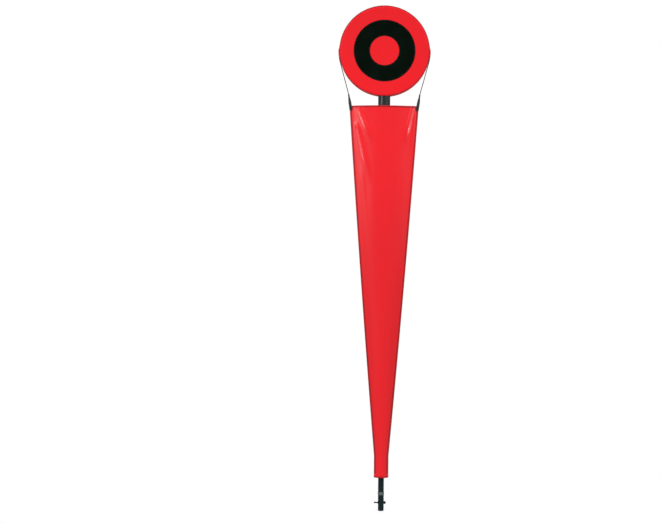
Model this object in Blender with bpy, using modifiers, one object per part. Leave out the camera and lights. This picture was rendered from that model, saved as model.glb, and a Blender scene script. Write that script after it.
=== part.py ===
"""Padded sideline marker pole: round target on top, tapered drape round the pole, spring-loaded foot.

Units are metres, +Z runs up the pole and the origin is the centre of the foot's flat end.
The target's front faces -Y. Three groups of pieces move: the pole with its target, the lower
rod that slides up into it, and the drape that turns round it.
"""

import math

import bmesh
import bpy
from mathutils import Matrix, Vector

GAP = 0.0003  # left between neighbouring pieces
PIN_INSET = 0.0003  # of a pin's ends below the surface round them

# Target
TARGET_RADIUS = 0.1995
TARGET_HEIGHT = 2.032  # of its centre
TARGET_DEPTH = 0.050
RING_OUTER = 0.1360
RING_INNER = 0.0645
VINYL = 0.0009
RING_VINYL = 0.0006
BAND_INSET = 0.0001
FOAM_EASE = 0.0004  # between the band and the foam inside it
PIPING_RADIUS = 0.0018
BOARD_THICKNESS = 0.003
BOARD_RADIUS = 0.187

# Padded pole
TUBE_RADIUS = 0.01745
TUBE_WALL = 0.00165
TUBE_TOP = 2.150
CAP_THICKNESS = 0.003
CAP_STEM = 0.020
CAP_TAPER = 0.0005
PADDING_FOOT = 0.190
PADDING_JOINT = PADDING_FOOT + 1.219  # one 4 ft length of foam sleeve
JOINT_GAP = 0.0005
PADDING_TOP = TARGET_HEIGHT - TARGET_RADIUS - 0.0004
FOAM_RADIUS = 0.0256
COVER_RADIUS = 0.0267
COVER_FOOT = 0.184
FLANGE_RADIUS = 0.0240
FLANGE_THICKNESS = 0.004
FLANGE_EDGE = 0.001
BUSH_TOP = 0.250
RIVET_HEIGHT = 0.215
RIVET_RADIUS = 0.002
RIVET_CLEARANCE = 0.0004  # between a rivet's inner end and the bush's bore

# Lower rod, its spring and its stop
ROD_RADIUS = 0.0127
ROD_BORE = 0.0102
ROD_TOP = 0.272
FOOT_FLANGE = 0.004
FOOT_EDGE = 0.0012
FOOT_STEM_TOP = 0.024
STEM_TAPER = 0.001
HEAD_TOP = 0.282
HEAD_PIN_HEIGHT = 0.262
SPOT_RADIUS = 0.0095  # of the spigots that centre the spring
SPOT_LENGTH = 0.006
SPRING_LENGTH = 0.200
SPRING_RADIUS = 0.012
SPRING_WIRE = 0.0014
SPRING_TURNS = 13
POINTS_A_TURN = 9
STOP_THICKNESS = 0.018
STOP_PIN_RADIUS = 0.0025
COLLAR_FOOT = 0.070
COLLAR_HEIGHT = 0.0127
COLLAR_RADIUS = 0.0139
COLLAR_EDGE = 0.0003
SCREW_RADIUS = 0.0020
BOLT_HEIGHT = 0.036
BOLT_RADIUS = 0.003
EYE_RADIUS = 0.0062  # of the eye's centreline
EYE_WIRE = 0.0022
EYE_OVERLAP = 0.0005  # of the eye and the shank it is forged on
WASHER_RADIUS = 0.0062
WASHER_THICKNESS = 0.0012
NUT_FLATS = 0.0111
NUT_THICKNESS = 0.0056
BOLT_END = 0.0022  # beyond the nut

# Drape
DRAPE_FOOT = 0.149
DRAPE_TOP = 1.790
CUFF_TOP = 0.243
CUFF_WIDTH = 0.0624
DRAPE_WIDTH = 0.3048
DRAPE_BOW = 0.0071  # the sides bow out by this much in all, half way up
DRAPE_RADIUS = 0.0282  # where it wraps the pole, inside
SEAM_GAP = 0.0008  # between the two panels along the side seams

# Cords and tabs
POCKET_HEIGHT = 0.0046
POCKET_WIDTH = 0.018
POCKET_CLEARANCE = 0.0002
CORD_ANGLE = math.radians(15.2)  # below level, where the cord leaves the target's rim
POCKET_FOOT = math.radians(6.5)  # below level, where the cord comes out of its pocket
POCKET_ANGLE = math.radians(13)
POCKET_STEPS = 4
CORD_LINE_RADIUS = TARGET_RADIUS + 0.0025
CORD_REACH = 0.143  # of its straight run, from the rim to the tab
CORD_RADIUS = 0.00175
TAB_LEAN = math.radians(9)
TAB_LENGTH = 0.072
TAB_WIDTH = 0.0127
TAB_SLOT = 0.0255  # how far its two legs straddle the drape
TAB_THICKNESS = 0.0063
LEG_INNER = 0.0041
LEG_OUTER = 0.0054
SNAP_DROP = 0.062  # of the snap's centre below the tab's top end
SNAP_RADIUS = 0.0045
SNAP_CAP = 0.0013
SNAP_SHANK = 0.0015
CORD_STEPS = 14
RIM_STEPS = 4

SIDES = {"left": -1, "right": 1}


def clear_scene():
    for thing in list(bpy.data.objects):
        bpy.data.objects.remove(thing, do_unlink=True)


def new_collection(name):
    collection = bpy.data.collections.new(name)
    bpy.context.scene.collection.children.link(collection)
    return collection


def new_material(name, colour, roughness, metallic=0.0):
    material = bpy.data.materials.new(name)
    material.use_nodes = True
    shader = material.node_tree.nodes["Principled BSDF"]
    shader.inputs["Base Color"].default_value = (*colour, 1.0)
    shader.inputs["Roughness"].default_value = roughness
    shader.inputs["Metallic"].default_value = metallic
    material.diffuse_color = (*colour, 1.0)
    return material


clear_scene()
PARTS = new_collection("sideline_marker_pole")
CUTTERS = new_collection("cutters")

FINISHES = {
    "red_vinyl": ((0.77, 0.018, 0.026), 0.42, 0.0),
    "black_vinyl": ((0.012, 0.016, 0.016), 0.35, 0.0),
    "foam": ((0.10, 0.10, 0.11), 0.95, 0.0),
    "tube_aluminium": ((0.72, 0.73, 0.74), 0.35, 1.0),
    "black_steel": ((0.015, 0.022, 0.022), 0.40, 0.6),
    "bright_steel": ((0.55, 0.56, 0.55), 0.30, 1.0),
    "spring_steel": ((0.45, 0.46, 0.47), 0.35, 1.0),
    "black_nylon": ((0.015, 0.015, 0.016), 0.55, 0.0),
    "hardboard": ((0.23, 0.13, 0.06), 0.80, 0.0),
    "black_webbing": ((0.012, 0.012, 0.013), 0.85, 0.0),
    "grey_cord": ((0.10, 0.11, 0.12), 0.75, 0.0),
}


def empty(name):
    thing = bpy.data.objects.new(name, None)
    PARTS.objects.link(thing)
    return thing


# Every joint's axis is the pole's own, so each group's empty sits at the origin.
FRAMES = {name: empty(name) for name in ("pole_axis", "lower_rod_axis", "drape_axis")}


def place(name, data, finish, frame):
    """Makes the object for one piece, in its own material, on its moving group's empty."""
    thing = bpy.data.objects.new(name, data)
    data.materials.append(new_material(name, *FINISHES[finish]))
    PARTS.objects.link(thing)
    thing.parent = FRAMES[frame]
    return thing


def mesh_from(bm, name):
    bmesh.ops.recalc_face_normals(bm, faces=bm.faces)
    mesh = bpy.data.meshes.new(name)
    bm.to_mesh(mesh)
    bm.free()
    mesh.shade_smooth()
    mesh.set_sharp_from_angle(angle=math.radians(35))
    return mesh


def outline_mesh(name, points, closed):
    """A line of edges through (radius, height) points in the XZ plane, for the Screw modifier."""
    bm = bmesh.new()
    verts = [bm.verts.new((r, 0, z)) for r, z in points]
    for a, b in zip(verts, verts[1:] + verts[:1] if closed else verts[1:]):
        bm.edges.new((a, b))
    mesh = bpy.data.meshes.new(name)
    bm.to_mesh(mesh)
    bm.free()
    return mesh


def screw(thing, steps):
    turn = thing.modifiers.new("turn", "SCREW")
    turn.steps = turn.render_steps = steps
    turn.use_merge_vertices = True
    turn.merge_threshold = 0.00001
    turn.use_smooth_shade = True


def turned(name, points, finish, frame, steps=32, closed=False):
    """A turned piece: points run down its outer side, and round its bore if closed."""
    thing = place(name, outline_mesh(name, points, closed), finish, frame)
    screw(thing, steps)
    return thing


def sleeve(name, outer, inner, foot, top, finish, frame, steps=32):
    points = [(outer, top), (outer, foot), (inner, foot), (inner, top)]
    return turned(name, points, finish, frame, steps, closed=True)


def plug(name, radius, foot, top, finish, frame, steps=24):
    return turned(name, [(0, top), (radius, top), (radius, foot), (0, foot)], finish, frame, steps)


def cylinder_mesh(name, radius, length, segments):
    bm = bmesh.new()
    bmesh.ops.create_cone(
        bm, cap_ends=True, segments=segments, radius1=radius, radius2=radius, depth=length
    )
    return mesh_from(bm, name)


ALONG = {
    "X": Matrix.Rotation(math.radians(90), 4, "Y"),
    "Y": Matrix.Rotation(math.radians(-90), 4, "X"),
    "Z": Matrix.Identity(4),
}


def put(thing, centre, axis="Z"):
    """Moves a piece to its centre, with its own Z along the given axis."""
    thing.matrix_basis = Matrix.Translation(centre) @ ALONG[axis]
    return thing


def pin(name, radius, length, centre, axis, finish, frame, segments=16):
    thing = place(name, cylinder_mesh(name, radius, length, segments), finish, frame)
    return put(thing, centre, axis)


def hide(cutter):
    cutter.hide_render = True
    cutter.display_type = "WIRE"
    CUTTERS.objects.link(cutter)
    return cutter


def round_cutter(name, radius, length, centre, axis="Z", segments=24):
    cutter = bpy.data.objects.new(name, cylinder_mesh(name, radius, length, segments))
    return put(hide(cutter), centre, axis)


def box_cutter(name, size, centre):
    bm = bmesh.new()
    bmesh.ops.create_cube(bm, size=1.0, matrix=Matrix.Diagonal((*size, 1.0)))
    cutter = bpy.data.objects.new(name, mesh_from(bm, name))
    return put(hide(cutter), centre)


def combine(thing, other, operation):
    change = thing.modifiers.new(operation.lower(), "BOOLEAN")
    change.operation = operation
    change.solver = "EXACT"
    change.object = other


def cut(thing, *cutters):
    for cutter in cutters:
        combine(thing, cutter, "DIFFERENCE")


def wire(name, points, radius, finish, frame):
    """A wire or cord through points, as a tube with eight sides and filled caps."""
    curve = bpy.data.curves.new(name, "CURVE")
    curve.dimensions = "3D"
    curve.bevel_depth = radius
    curve.bevel_resolution = 2
    curve.use_fill_caps = True
    line = curve.splines.new("POLY")
    line.points.add(len(points) - 1)
    for point, co in zip(line.points, points):
        point.co = (*co, 1.0)
    return place(name, curve, finish, frame)


# ---------------------------------------------------------------- the padded pole

TUBE_BORE = TUBE_RADIUS - TUBE_WALL
PLUG_RADIUS = TUBE_BORE - GAP
SPRING_FOOT = HEAD_TOP + GAP
SPRING_TOP = SPRING_FOOT + SPRING_LENGTH
STOP_FOOT = SPRING_TOP + GAP
STOP_PIN_HEIGHT = STOP_FOOT + STOP_THICKNESS / 2
ACROSS = 0.06  # length of a cutter that passes right through the tube


def make_tube():
    tube = sleeve(
        "pole_tube", TUBE_RADIUS, TUBE_BORE, PADDING_FOOT, TUBE_TOP, "tube_aluminium", "pole_axis"
    )
    pin_hole = round_cutter(
        "stop_pin_hole", STOP_PIN_RADIUS + GAP, ACROSS, (0, 0, STOP_PIN_HEIGHT), "X", 16
    )
    rivet_hole = round_cutter(
        "rivet_hole", RIVET_RADIUS + GAP, ACROSS, (0, 0, RIVET_HEIGHT), "X", 16
    )
    cut(tube, pin_hole, rivet_hole)
    cap_top = TUBE_TOP + CAP_THICKNESS
    points = [
        (0, cap_top),
        (TUBE_RADIUS, cap_top),
        (TUBE_RADIUS, TUBE_TOP + GAP),
        (PLUG_RADIUS, TUBE_TOP + GAP),
        (PLUG_RADIUS - CAP_TAPER, TUBE_TOP - CAP_STEM),
        (0, TUBE_TOP - CAP_STEM),
    ]
    turned("tube_cap", points, "black_nylon", "pole_axis")
    make_bush(rivet_hole)
    make_spring_stop(pin_hole)


def make_bush(rivet_hole):
    """The rod slides in this bush, and its flange carries the padding."""
    flange_top = PADDING_FOOT - GAP
    flange_foot = flange_top - FLANGE_THICKNESS
    bore = ROD_RADIUS + GAP
    points = [
        (PLUG_RADIUS, BUSH_TOP),
        (PLUG_RADIUS, flange_top),
        (FLANGE_RADIUS, flange_top),
        (FLANGE_RADIUS, flange_foot + FLANGE_EDGE),
        (FLANGE_RADIUS - FLANGE_EDGE, flange_foot),
        (bore, flange_foot),
        (bore, BUSH_TOP),
    ]
    bush = turned("guide_bush", points, "black_nylon", "pole_axis", closed=True)
    cut(bush, rivet_hole)
    inner, outer = bore + RIVET_CLEARANCE, TUBE_RADIUS - PIN_INSET
    for side, way in SIDES.items():
        centre = (way * (inner + outer) / 2, 0, RIVET_HEIGHT)
        pin(f"bush_rivet_{side}", RIVET_RADIUS, outer - inner, centre, "X", "bright_steel",
            "pole_axis", 12)


def make_spring_stop(pin_hole):
    top = STOP_FOOT + STOP_THICKNESS
    points = [
        (0, top),
        (PLUG_RADIUS, top),
        (PLUG_RADIUS, STOP_FOOT),
        (SPOT_RADIUS, STOP_FOOT),
        (SPOT_RADIUS, STOP_FOOT - SPOT_LENGTH),
        (0, STOP_FOOT - SPOT_LENGTH),
    ]
    cut(turned("spring_stop", points, "black_nylon", "pole_axis"), pin_hole)
    length = 2 * (TUBE_RADIUS - PIN_INSET)
    pin("stop_pin", STOP_PIN_RADIUS, length, (0, 0, STOP_PIN_HEIGHT), "X", "bright_steel",
        "pole_axis")


def make_spring():
    foot, top = SPRING_FOOT + SPRING_WIRE, SPRING_TOP - SPRING_WIRE
    count = SPRING_TURNS * POINTS_A_TURN
    points = []
    for i in range(count + 1):
        turn = 2 * math.pi * SPRING_TURNS * i / count
        height = foot + (top - foot) * i / count
        points.append((SPRING_RADIUS * math.cos(turn), SPRING_RADIUS * math.sin(turn), height))
    wire("plunger_spring", points, SPRING_WIRE, "spring_steel", "pole_axis")


def make_padding():
    bore = TUBE_RADIUS + GAP
    sleeve("foam_sleeve_lower", FOAM_RADIUS, bore, PADDING_FOOT, PADDING_JOINT, "foam", "pole_axis")
    sleeve("foam_sleeve_upper", FOAM_RADIUS, bore, PADDING_JOINT + JOINT_GAP, PADDING_TOP, "foam",
           "pole_axis")
    sleeve("pole_cover", COVER_RADIUS, FOAM_RADIUS + GAP, COVER_FOOT, PADDING_TOP, "black_vinyl",
           "pole_axis")


# ---------------------------------------------------------------- the target

FRONT = -TARGET_DEPTH / 2
BACK = TARGET_DEPTH / 2
PIPING_LINE = TARGET_RADIUS - PIPING_RADIUS
BOARD_FRONT = TUBE_RADIUS + GAP
BOARD_BACK = BOARD_FRONT + BOARD_THICKNESS
FOAM_FACE = TARGET_DEPTH / 2 - VINYL - GAP
BAND_EDGE = TARGET_DEPTH / 2 - 2 * PIPING_RADIUS - GAP
CLAMP_OFFSETS = {"upper": 0.080, "lower": -0.080}
CLAMP_WIDTH = 0.020
CLAMP_METAL = 0.0016
CLAMP_EAR = 0.038
CLAMP_BOLT_X = 0.029
CLAMP_BOLT_RADIUS = 0.0025
CLAMP_BEND = 0.0018
CLAMP_CLEARANCE = 0.0012  # cut from the foam round each strap
CLAMP_HEAD = 0.003
CLAMP_HEAD_RADIUS = 0.0043
CLAMP_NUT = 0.0024
CLAMP_NUT_CORNER = 0.0046
EAR_WAY_DEPTH = 0.0150
EAR_WAY_BACK = 0.0005
NUT_WAY_RADIUS = 0.0050
NUT_WAY_LENGTH = 0.012
EAR_FRONT = BOARD_FRONT - GAP - CLAMP_METAL


def face_turned(name, points, finish, steps=60, closed=False):
    """A piece turned about the target's axis. Points are (radius, depth), rearmost first."""
    thing = turned(name, points, finish, "pole_axis", steps, closed)
    return put(thing, (0, 0, TARGET_HEIGHT), "Y")


def disc(name, radius, front, back, finish):
    return face_turned(name, [(0, back), (radius, back), (radius, front), (0, front)], finish)


def ring(name, outer, inner, front, back, finish):
    points = [(outer, back), (outer, front), (inner, front), (inner, back)]
    return face_turned(name, points, finish, closed=True)


def clamp_bolt_places():
    for level, offset in CLAMP_OFFSETS.items():
        for side, way in SIDES.items():
            yield f"{level}_{side}", way * CLAMP_BOLT_X, TARGET_HEIGHT + offset


def make_clamp(level, offset):
    """A strap bent round the tube's front, with an ear each side on the board."""
    inner = TUBE_RADIUS + GAP
    half = [(CLAMP_EAR, EAR_FRONT + CLAMP_METAL), (inner + CLAMP_BEND, EAR_FRONT + CLAMP_METAL)]
    half.append((inner, EAR_FRONT))
    half += [
        (inner * math.cos(a), -inner * math.sin(a))
        for a in (math.radians(15 * i) for i in range(7))
    ]
    path = half + [(-x, y) for x, y in reversed(half[:-1])]
    bm = bmesh.new()
    rows = [[bm.verts.new((x, y, z)) for x, y in path] for z in (-CLAMP_WIDTH / 2, CLAMP_WIDTH / 2)]
    for i in range(len(path) - 1):
        bm.faces.new((rows[0][i], rows[0][i + 1], rows[1][i + 1], rows[1][i]))
    strap = place(f"clamp_strap_{level}", mesh_from(bm, "strap"), "bright_steel", "pole_axis")
    strap.location = (0, 0, TARGET_HEIGHT + offset)
    metal = strap.modifiers.new("metal", "SOLIDIFY")
    metal.thickness = CLAMP_METAL
    metal.offset = 1.0 if strap.data.polygons[0].normal.y < 0 else -1.0
    return strap


def make_clamps():
    """Two straps, four bolts and four nuts hold the board to the tube."""
    straps = {level: make_clamp(level, offset) for level, offset in CLAMP_OFFSETS.items()}
    holes = []
    for place_name, x, z in clamp_bolt_places():
        hole = round_cutter(f"clamp_hole_{place_name}", CLAMP_BOLT_RADIUS + GAP, ACROSS, (x, 0, z),
                            "Y", 16)
        holes.append(hole)
        cut(straps[place_name.split("_")[0]], hole)
        head_front = EAR_FRONT - GAP - CLAMP_HEAD
        tip = BOARD_BACK + GAP + CLAMP_NUT
        head, shank = CLAMP_HEAD_RADIUS, CLAMP_BOLT_RADIUS
        points = [(0, tip), (shank, tip), (shank, head_front + CLAMP_HEAD),
                  (head, head_front + CLAMP_HEAD), (head, head_front), (0, head_front)]
        bolt = turned(f"clamp_bolt_{place_name}", points, "bright_steel", "pole_axis", 12)
        put(bolt, (x, 0, z), "Y")
        nut = plug(f"clamp_nut_{place_name}", CLAMP_NUT_CORNER, tip - CLAMP_NUT, tip,
                   "bright_steel", "pole_axis", 6)
        cut(put(nut, (x, 0, z), "Y"), hole)
    return holes


def make_target():
    holes = make_clamps()
    foot = TARGET_HEIGHT - TARGET_RADIUS - GAP
    roof = TUBE_TOP + CAP_THICKNESS + CAP_STEM / 2
    tube_way = round_cutter("tube_way", TUBE_RADIUS + GAP, roof - foot,
                            (0, 0, (roof + foot) / 2), "Z", 32)
    board = disc("target_board", BOARD_RADIUS, BOARD_FRONT, BOARD_BACK, "hardboard")
    cut(board, *holes)

    side = TARGET_RADIUS - VINYL - FOAM_EASE
    shoulder = PIPING_LINE - PIPING_RADIUS - GAP
    front_foam = face_turned(
        "target_foam_front",
        [(0, BOARD_FRONT - GAP), (side, BOARD_FRONT - GAP), (side, -BAND_EDGE),
         (shoulder, -BAND_EDGE), (shoulder, -FOAM_FACE), (0, -FOAM_FACE)],
        "foam",
    )
    cut(front_foam, tube_way)
    rear_foam = face_turned(
        "target_foam_rear",
        [(0, FOAM_FACE), (shoulder, FOAM_FACE), (shoulder, BOARD_BACK + GAP),
         (0, BOARD_BACK + GAP)],
        "foam",
    )
    for level, offset in CLAMP_OFFSETS.items():
        height = TARGET_HEIGHT + offset
        reach = CLAMP_WIDTH + 2 * GAP
        over = round_cutter(f"strap_way_{level}", TUBE_RADIUS + CLAMP_METAL + CLAMP_CLEARANCE, reach,
                            (0, 0, height), "Z", 32)
        ears = box_cutter(
            f"ear_way_{level}", (2 * (CLAMP_EAR + EAR_WAY_BACK), EAR_WAY_DEPTH, reach),
            (0, BOARD_FRONT + EAR_WAY_BACK - EAR_WAY_DEPTH / 2, height),
        )
        cut(front_foam, over, ears)
        for side_name, way in SIDES.items():
            nut_way = round_cutter(f"nut_way_{level}_{side_name}", NUT_WAY_RADIUS, NUT_WAY_LENGTH,
                                   (way * CLAMP_BOLT_X, BACK, height), "Y", 16)
            cut(rear_foam, nut_way)
    make_target_skin()


def make_target_skin():
    face = PIPING_LINE - PIPING_RADIUS - GAP
    for name, way in (("front", -1), ("rear", 1)):
        outside, inside = way * TARGET_DEPTH / 2, way * (TARGET_DEPTH / 2 - VINYL)
        disc(f"target_face_{name}", face, min(outside, inside), max(outside, inside), "red_vinyl")
        near, far = outside + way * GAP, outside + way * (GAP + RING_VINYL)
        ring(f"bullseye_ring_{name}", RING_OUTER, RING_INNER, min(near, far), max(near, far),
             "black_vinyl")
        points = [
            (PIPING_LINE + PIPING_RADIUS * math.cos(a), PIPING_RADIUS * math.sin(a))
            for a in (math.radians(-60 * i) for i in range(6))
        ]
        piping = face_turned(f"rim_piping_{name}", points, "red_vinyl", closed=True)
        put(piping, (0, way * (TARGET_DEPTH / 2 - PIPING_RADIUS), TARGET_HEIGHT), "Y")
    outer = TARGET_RADIUS - BAND_INSET
    band = ring("target_band", outer, outer - VINYL, -BAND_EDGE, BAND_EDGE, "red_vinyl")
    pole_way = round_cutter("pole_way", TUBE_RADIUS + GAP, ACROSS,
                            (0, 0, TARGET_HEIGHT - TARGET_RADIUS), "Z", 32)
    cut(band, pole_way)


# ---------------------------------------------------------------- cords and their pockets


def rim_point(radius, angle, way):
    """A point round the target's axis, angle below level, on the given side."""
    return Vector((way * radius * math.cos(angle), 0, TARGET_HEIGHT - radius * math.sin(angle)))


def make_pocket(side, way):
    """The end of each cord is sewn under a vinyl pocket that hugs the target's rim."""
    base = TARGET_RADIUS + POCKET_CLEARANCE
    profile = [
        (base + POCKET_HEIGHT * math.sin(a), -POCKET_WIDTH / 2 * math.cos(a))
        for a in (math.radians(22.5 * i) for i in range(9))
    ]
    bm = bmesh.new()
    verts = []
    for radius, depth in profile:
        at = rim_point(radius, POCKET_FOOT, way)
        verts.append(bm.verts.new((at.x, depth, at.z)))
    face = bm.faces.new(verts)
    bmesh.ops.spin(
        bm, geom=[face, *face.edges, *face.verts], cent=(0, 0, TARGET_HEIGHT), axis=(0, 1, 0),
        angle=way * POCKET_ANGLE * -1, steps=POCKET_STEPS, use_merge=False, use_normal_flip=False,
        use_duplicate=False,
    )
    return place(f"cord_pocket_{side}", mesh_from(bm, "pocket"), "red_vinyl", "pole_axis")


def cord_line(way):
    """Where the cord leaves the rim, its direction down the tangent, and its lower end."""
    start = rim_point(CORD_LINE_RADIUS, CORD_ANGLE, way)
    along = Vector((-way * math.sin(CORD_ANGLE), 0, -math.cos(CORD_ANGLE)))
    return start, along, start + along * CORD_REACH


def cord_route(way):
    """Round the rim from the pocket, then straight down the tangent to the tab."""
    first = POCKET_FOOT + GAP / CORD_LINE_RADIUS
    step = (CORD_ANGLE - first) / RIM_STEPS
    on_rim = [rim_point(CORD_LINE_RADIUS, first + step * i, way) for i in range(RIM_STEPS)]
    start, _, end = cord_line(way)
    return on_rim + [start.lerp(end, i / CORD_STEPS) for i in range(CORD_STEPS + 1)]


def make_cord(side, way):
    wire(f"cord_{side}", cord_route(way), CORD_RADIUS, "grey_cord", "pole_axis")


# ---------------------------------------------------------------- the lower rod


def make_lower_rod():
    rod = sleeve("lower_rod", ROD_RADIUS, ROD_BORE, FOOT_FLANGE + GAP, ROD_TOP, "black_steel",
                 "lower_rod_axis", 24)
    bolt_hole = round_cutter("bolt_hole", BOLT_RADIUS + GAP, ACROSS, (0, 0, BOLT_HEIGHT), "X", 16)
    head_pin_hole = round_cutter("head_pin_hole", RIVET_RADIUS + GAP, ACROSS,
                                 (0, 0, HEAD_PIN_HEIGHT), "X", 16)
    screw_hole = round_cutter("collar_screw_hole", SCREW_RADIUS + GAP, ROD_RADIUS,
                              (0, ROD_RADIUS, collar_mid()), "Y", 12)
    cut(rod, bolt_hole, head_pin_hole, screw_hole)
    make_head(head_pin_hole)
    make_foot()
    make_collar(screw_hole)
    make_eye_bolt(bolt_hole)


def collar_mid():
    return COLLAR_FOOT + COLLAR_HEIGHT / 2


def make_head(head_pin_hole):
    """A nylon head pinned to the rod's top runs in the tube and rests on the bush."""
    foot = BUSH_TOP + GAP
    bore = ROD_RADIUS + GAP
    roof = ROD_TOP + GAP
    points = [
        (0, HEAD_TOP + SPOT_LENGTH),
        (SPOT_RADIUS, HEAD_TOP + SPOT_LENGTH),
        (SPOT_RADIUS, HEAD_TOP),
        (PLUG_RADIUS, HEAD_TOP),
        (PLUG_RADIUS, foot),
        (bore, foot),
        (bore, roof),
        (0, roof),
    ]
    head = turned("rod_head", points, "black_nylon", "lower_rod_axis")
    cut(head, head_pin_hole)
    length = 2 * (PLUG_RADIUS - PIN_INSET)
    pin("head_pin", RIVET_RADIUS, length, (0, 0, HEAD_PIN_HEIGHT), "X", "bright_steel",
        "lower_rod_axis", 12)


def make_foot():
    """A flat plug closes the rod's lower end, so that it can't cut into turf or shoes."""
    stem = ROD_BORE - GAP
    points = [
        (0, FOOT_STEM_TOP),
        (stem - STEM_TAPER, FOOT_STEM_TOP),
        (stem, FOOT_STEM_TOP - 2 * STEM_TAPER),
        (stem, FOOT_FLANGE),
        (ROD_RADIUS, FOOT_FLANGE),
        (ROD_RADIUS, FOOT_EDGE),
        (ROD_RADIUS - FOOT_EDGE, 0),
        (0, 0),
    ]
    turned("foot_plug", points, "black_nylon", "lower_rod_axis", 24)


def make_collar(screw_hole):
    """A thin steel ring. It stops the rod at the bush, and a screw holds it to the rod's wall."""
    top = COLLAR_FOOT + COLLAR_HEIGHT
    bore, edge = ROD_RADIUS + GAP, COLLAR_EDGE
    points = [
        (COLLAR_RADIUS - edge, top),
        (COLLAR_RADIUS, top - edge),
        (COLLAR_RADIUS, COLLAR_FOOT + edge),
        (COLLAR_RADIUS - edge, COLLAR_FOOT),
        (bore, COLLAR_FOOT),
        (bore, top),
    ]
    collar = turned("stop_collar", points, "bright_steel", "lower_rod_axis", closed=True)
    cut(collar, screw_hole)
    inner, outer = ROD_BORE + GAP, COLLAR_RADIUS - GAP
    pin("collar_screw", SCREW_RADIUS, outer - inner, (0, (inner + outer) / 2, collar_mid()), "Y",
        "black_steel", "lower_rod_axis", 12)


def make_eye_bolt(bolt_hole):
    """The measuring chain clips into this bolt's eye. A nut holds it on the other side."""
    washer_face = ROD_RADIUS + GAP + WASHER_THICKNESS
    eye_x = -(washer_face + GAP + EYE_RADIUS + EYE_WIRE)
    tip = washer_face + GAP + NUT_THICKNESS + BOLT_END
    shank_start = eye_x + EYE_RADIUS - EYE_OVERLAP
    shank = place("eye_bolt", cylinder_mesh("shank", BOLT_RADIUS, tip - shank_start, 16),
                  "black_steel", "lower_rod_axis")
    put(shank, ((tip + shank_start) / 2, 0, BOLT_HEIGHT), "X")
    points = [
        (EYE_RADIUS + EYE_WIRE * math.cos(a), EYE_WIRE * math.sin(a))
        for a in (math.radians(-45 * i) for i in range(8))
    ]
    eye = hide(bpy.data.objects.new("eye", outline_mesh("eye", points, closed=True)))
    screw(eye, 24)
    eye.location = (eye_x, 0, BOLT_HEIGHT)
    combine(shank, eye, "UNION")
    bore = BOLT_RADIUS + GAP
    for side, way in SIDES.items():
        near, far = ROD_RADIUS + GAP, washer_face
        points = [(WASHER_RADIUS, far), (WASHER_RADIUS, near), (bore, near), (bore, far)]
        washer = turned(f"eye_washer_{side}", points, "black_steel", "lower_rod_axis", 20, True)
        washer.matrix_basis = (Matrix.Translation((0, 0, BOLT_HEIGHT))
                               @ Matrix.Rotation(math.radians(90 * way), 4, "Y"))
    near = washer_face + GAP
    nut = plug("eye_nut", NUT_FLATS / math.sqrt(3), near, near + NUT_THICKNESS, "black_steel",
               "lower_rod_axis", 6)
    cut(put(nut, (0, 0, BOLT_HEIGHT), "X"), bolt_hole)


# ---------------------------------------------------------------- the drape


def half_width(height):
    """Half the drape's width: straight in the cuff, then a slightly bowed taper."""
    s = max(0.0, (height - CUFF_TOP) / (DRAPE_TOP - CUFF_TOP))
    return (CUFF_WIDTH + (DRAPE_WIDTH - CUFF_WIDTH) * s + 4 * DRAPE_BOW * s * (1 - s)) / 2


def panel_section(half, arc_steps=8):
    """Flat from the side seam to the pole, round the pole, and flat to the other seam."""
    tangent = math.acos(DRAPE_RADIUS / half)
    seam = SEAM_GAP / 2
    points = [(-half, -seam)]
    for i in range(arc_steps + 1):
        a = tangent + (math.pi - 2 * tangent) * i / arc_steps
        points.append((-DRAPE_RADIUS * math.cos(a), -DRAPE_RADIUS * math.sin(a) - seam))
    points.append((half, -seam))
    return points


def drape_heights():
    steps = 9
    taper = [CUFF_TOP + (DRAPE_TOP - CUFF_TOP) * i / steps for i in range(steps + 1)]
    return [DRAPE_FOOT, *taper]


def make_panel(name, way):
    """One of the two tapered panels, way -1 in front of the pole and 1 behind it."""
    bm = bmesh.new()
    rows = []
    for height in drape_heights():
        section = panel_section(half_width(height))
        rows.append([bm.verts.new((x, -way * y, height)) for x, y in section])
    for low, high in zip(rows, rows[1:]):
        for i in range(len(low) - 1):
            bm.faces.new((low[i], low[i + 1], high[i + 1], high[i]))
    panel = place(name, mesh_from(bm, name), "red_vinyl", "drape_axis")
    outward = panel.data.polygons[len(panel.data.polygons) // 2].normal.y * way > 0
    cloth = panel.modifiers.new("cloth", "SOLIDIFY")
    cloth.thickness = VINYL
    cloth.offset = 1.0 if outward else -1.0
    return panel


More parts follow.
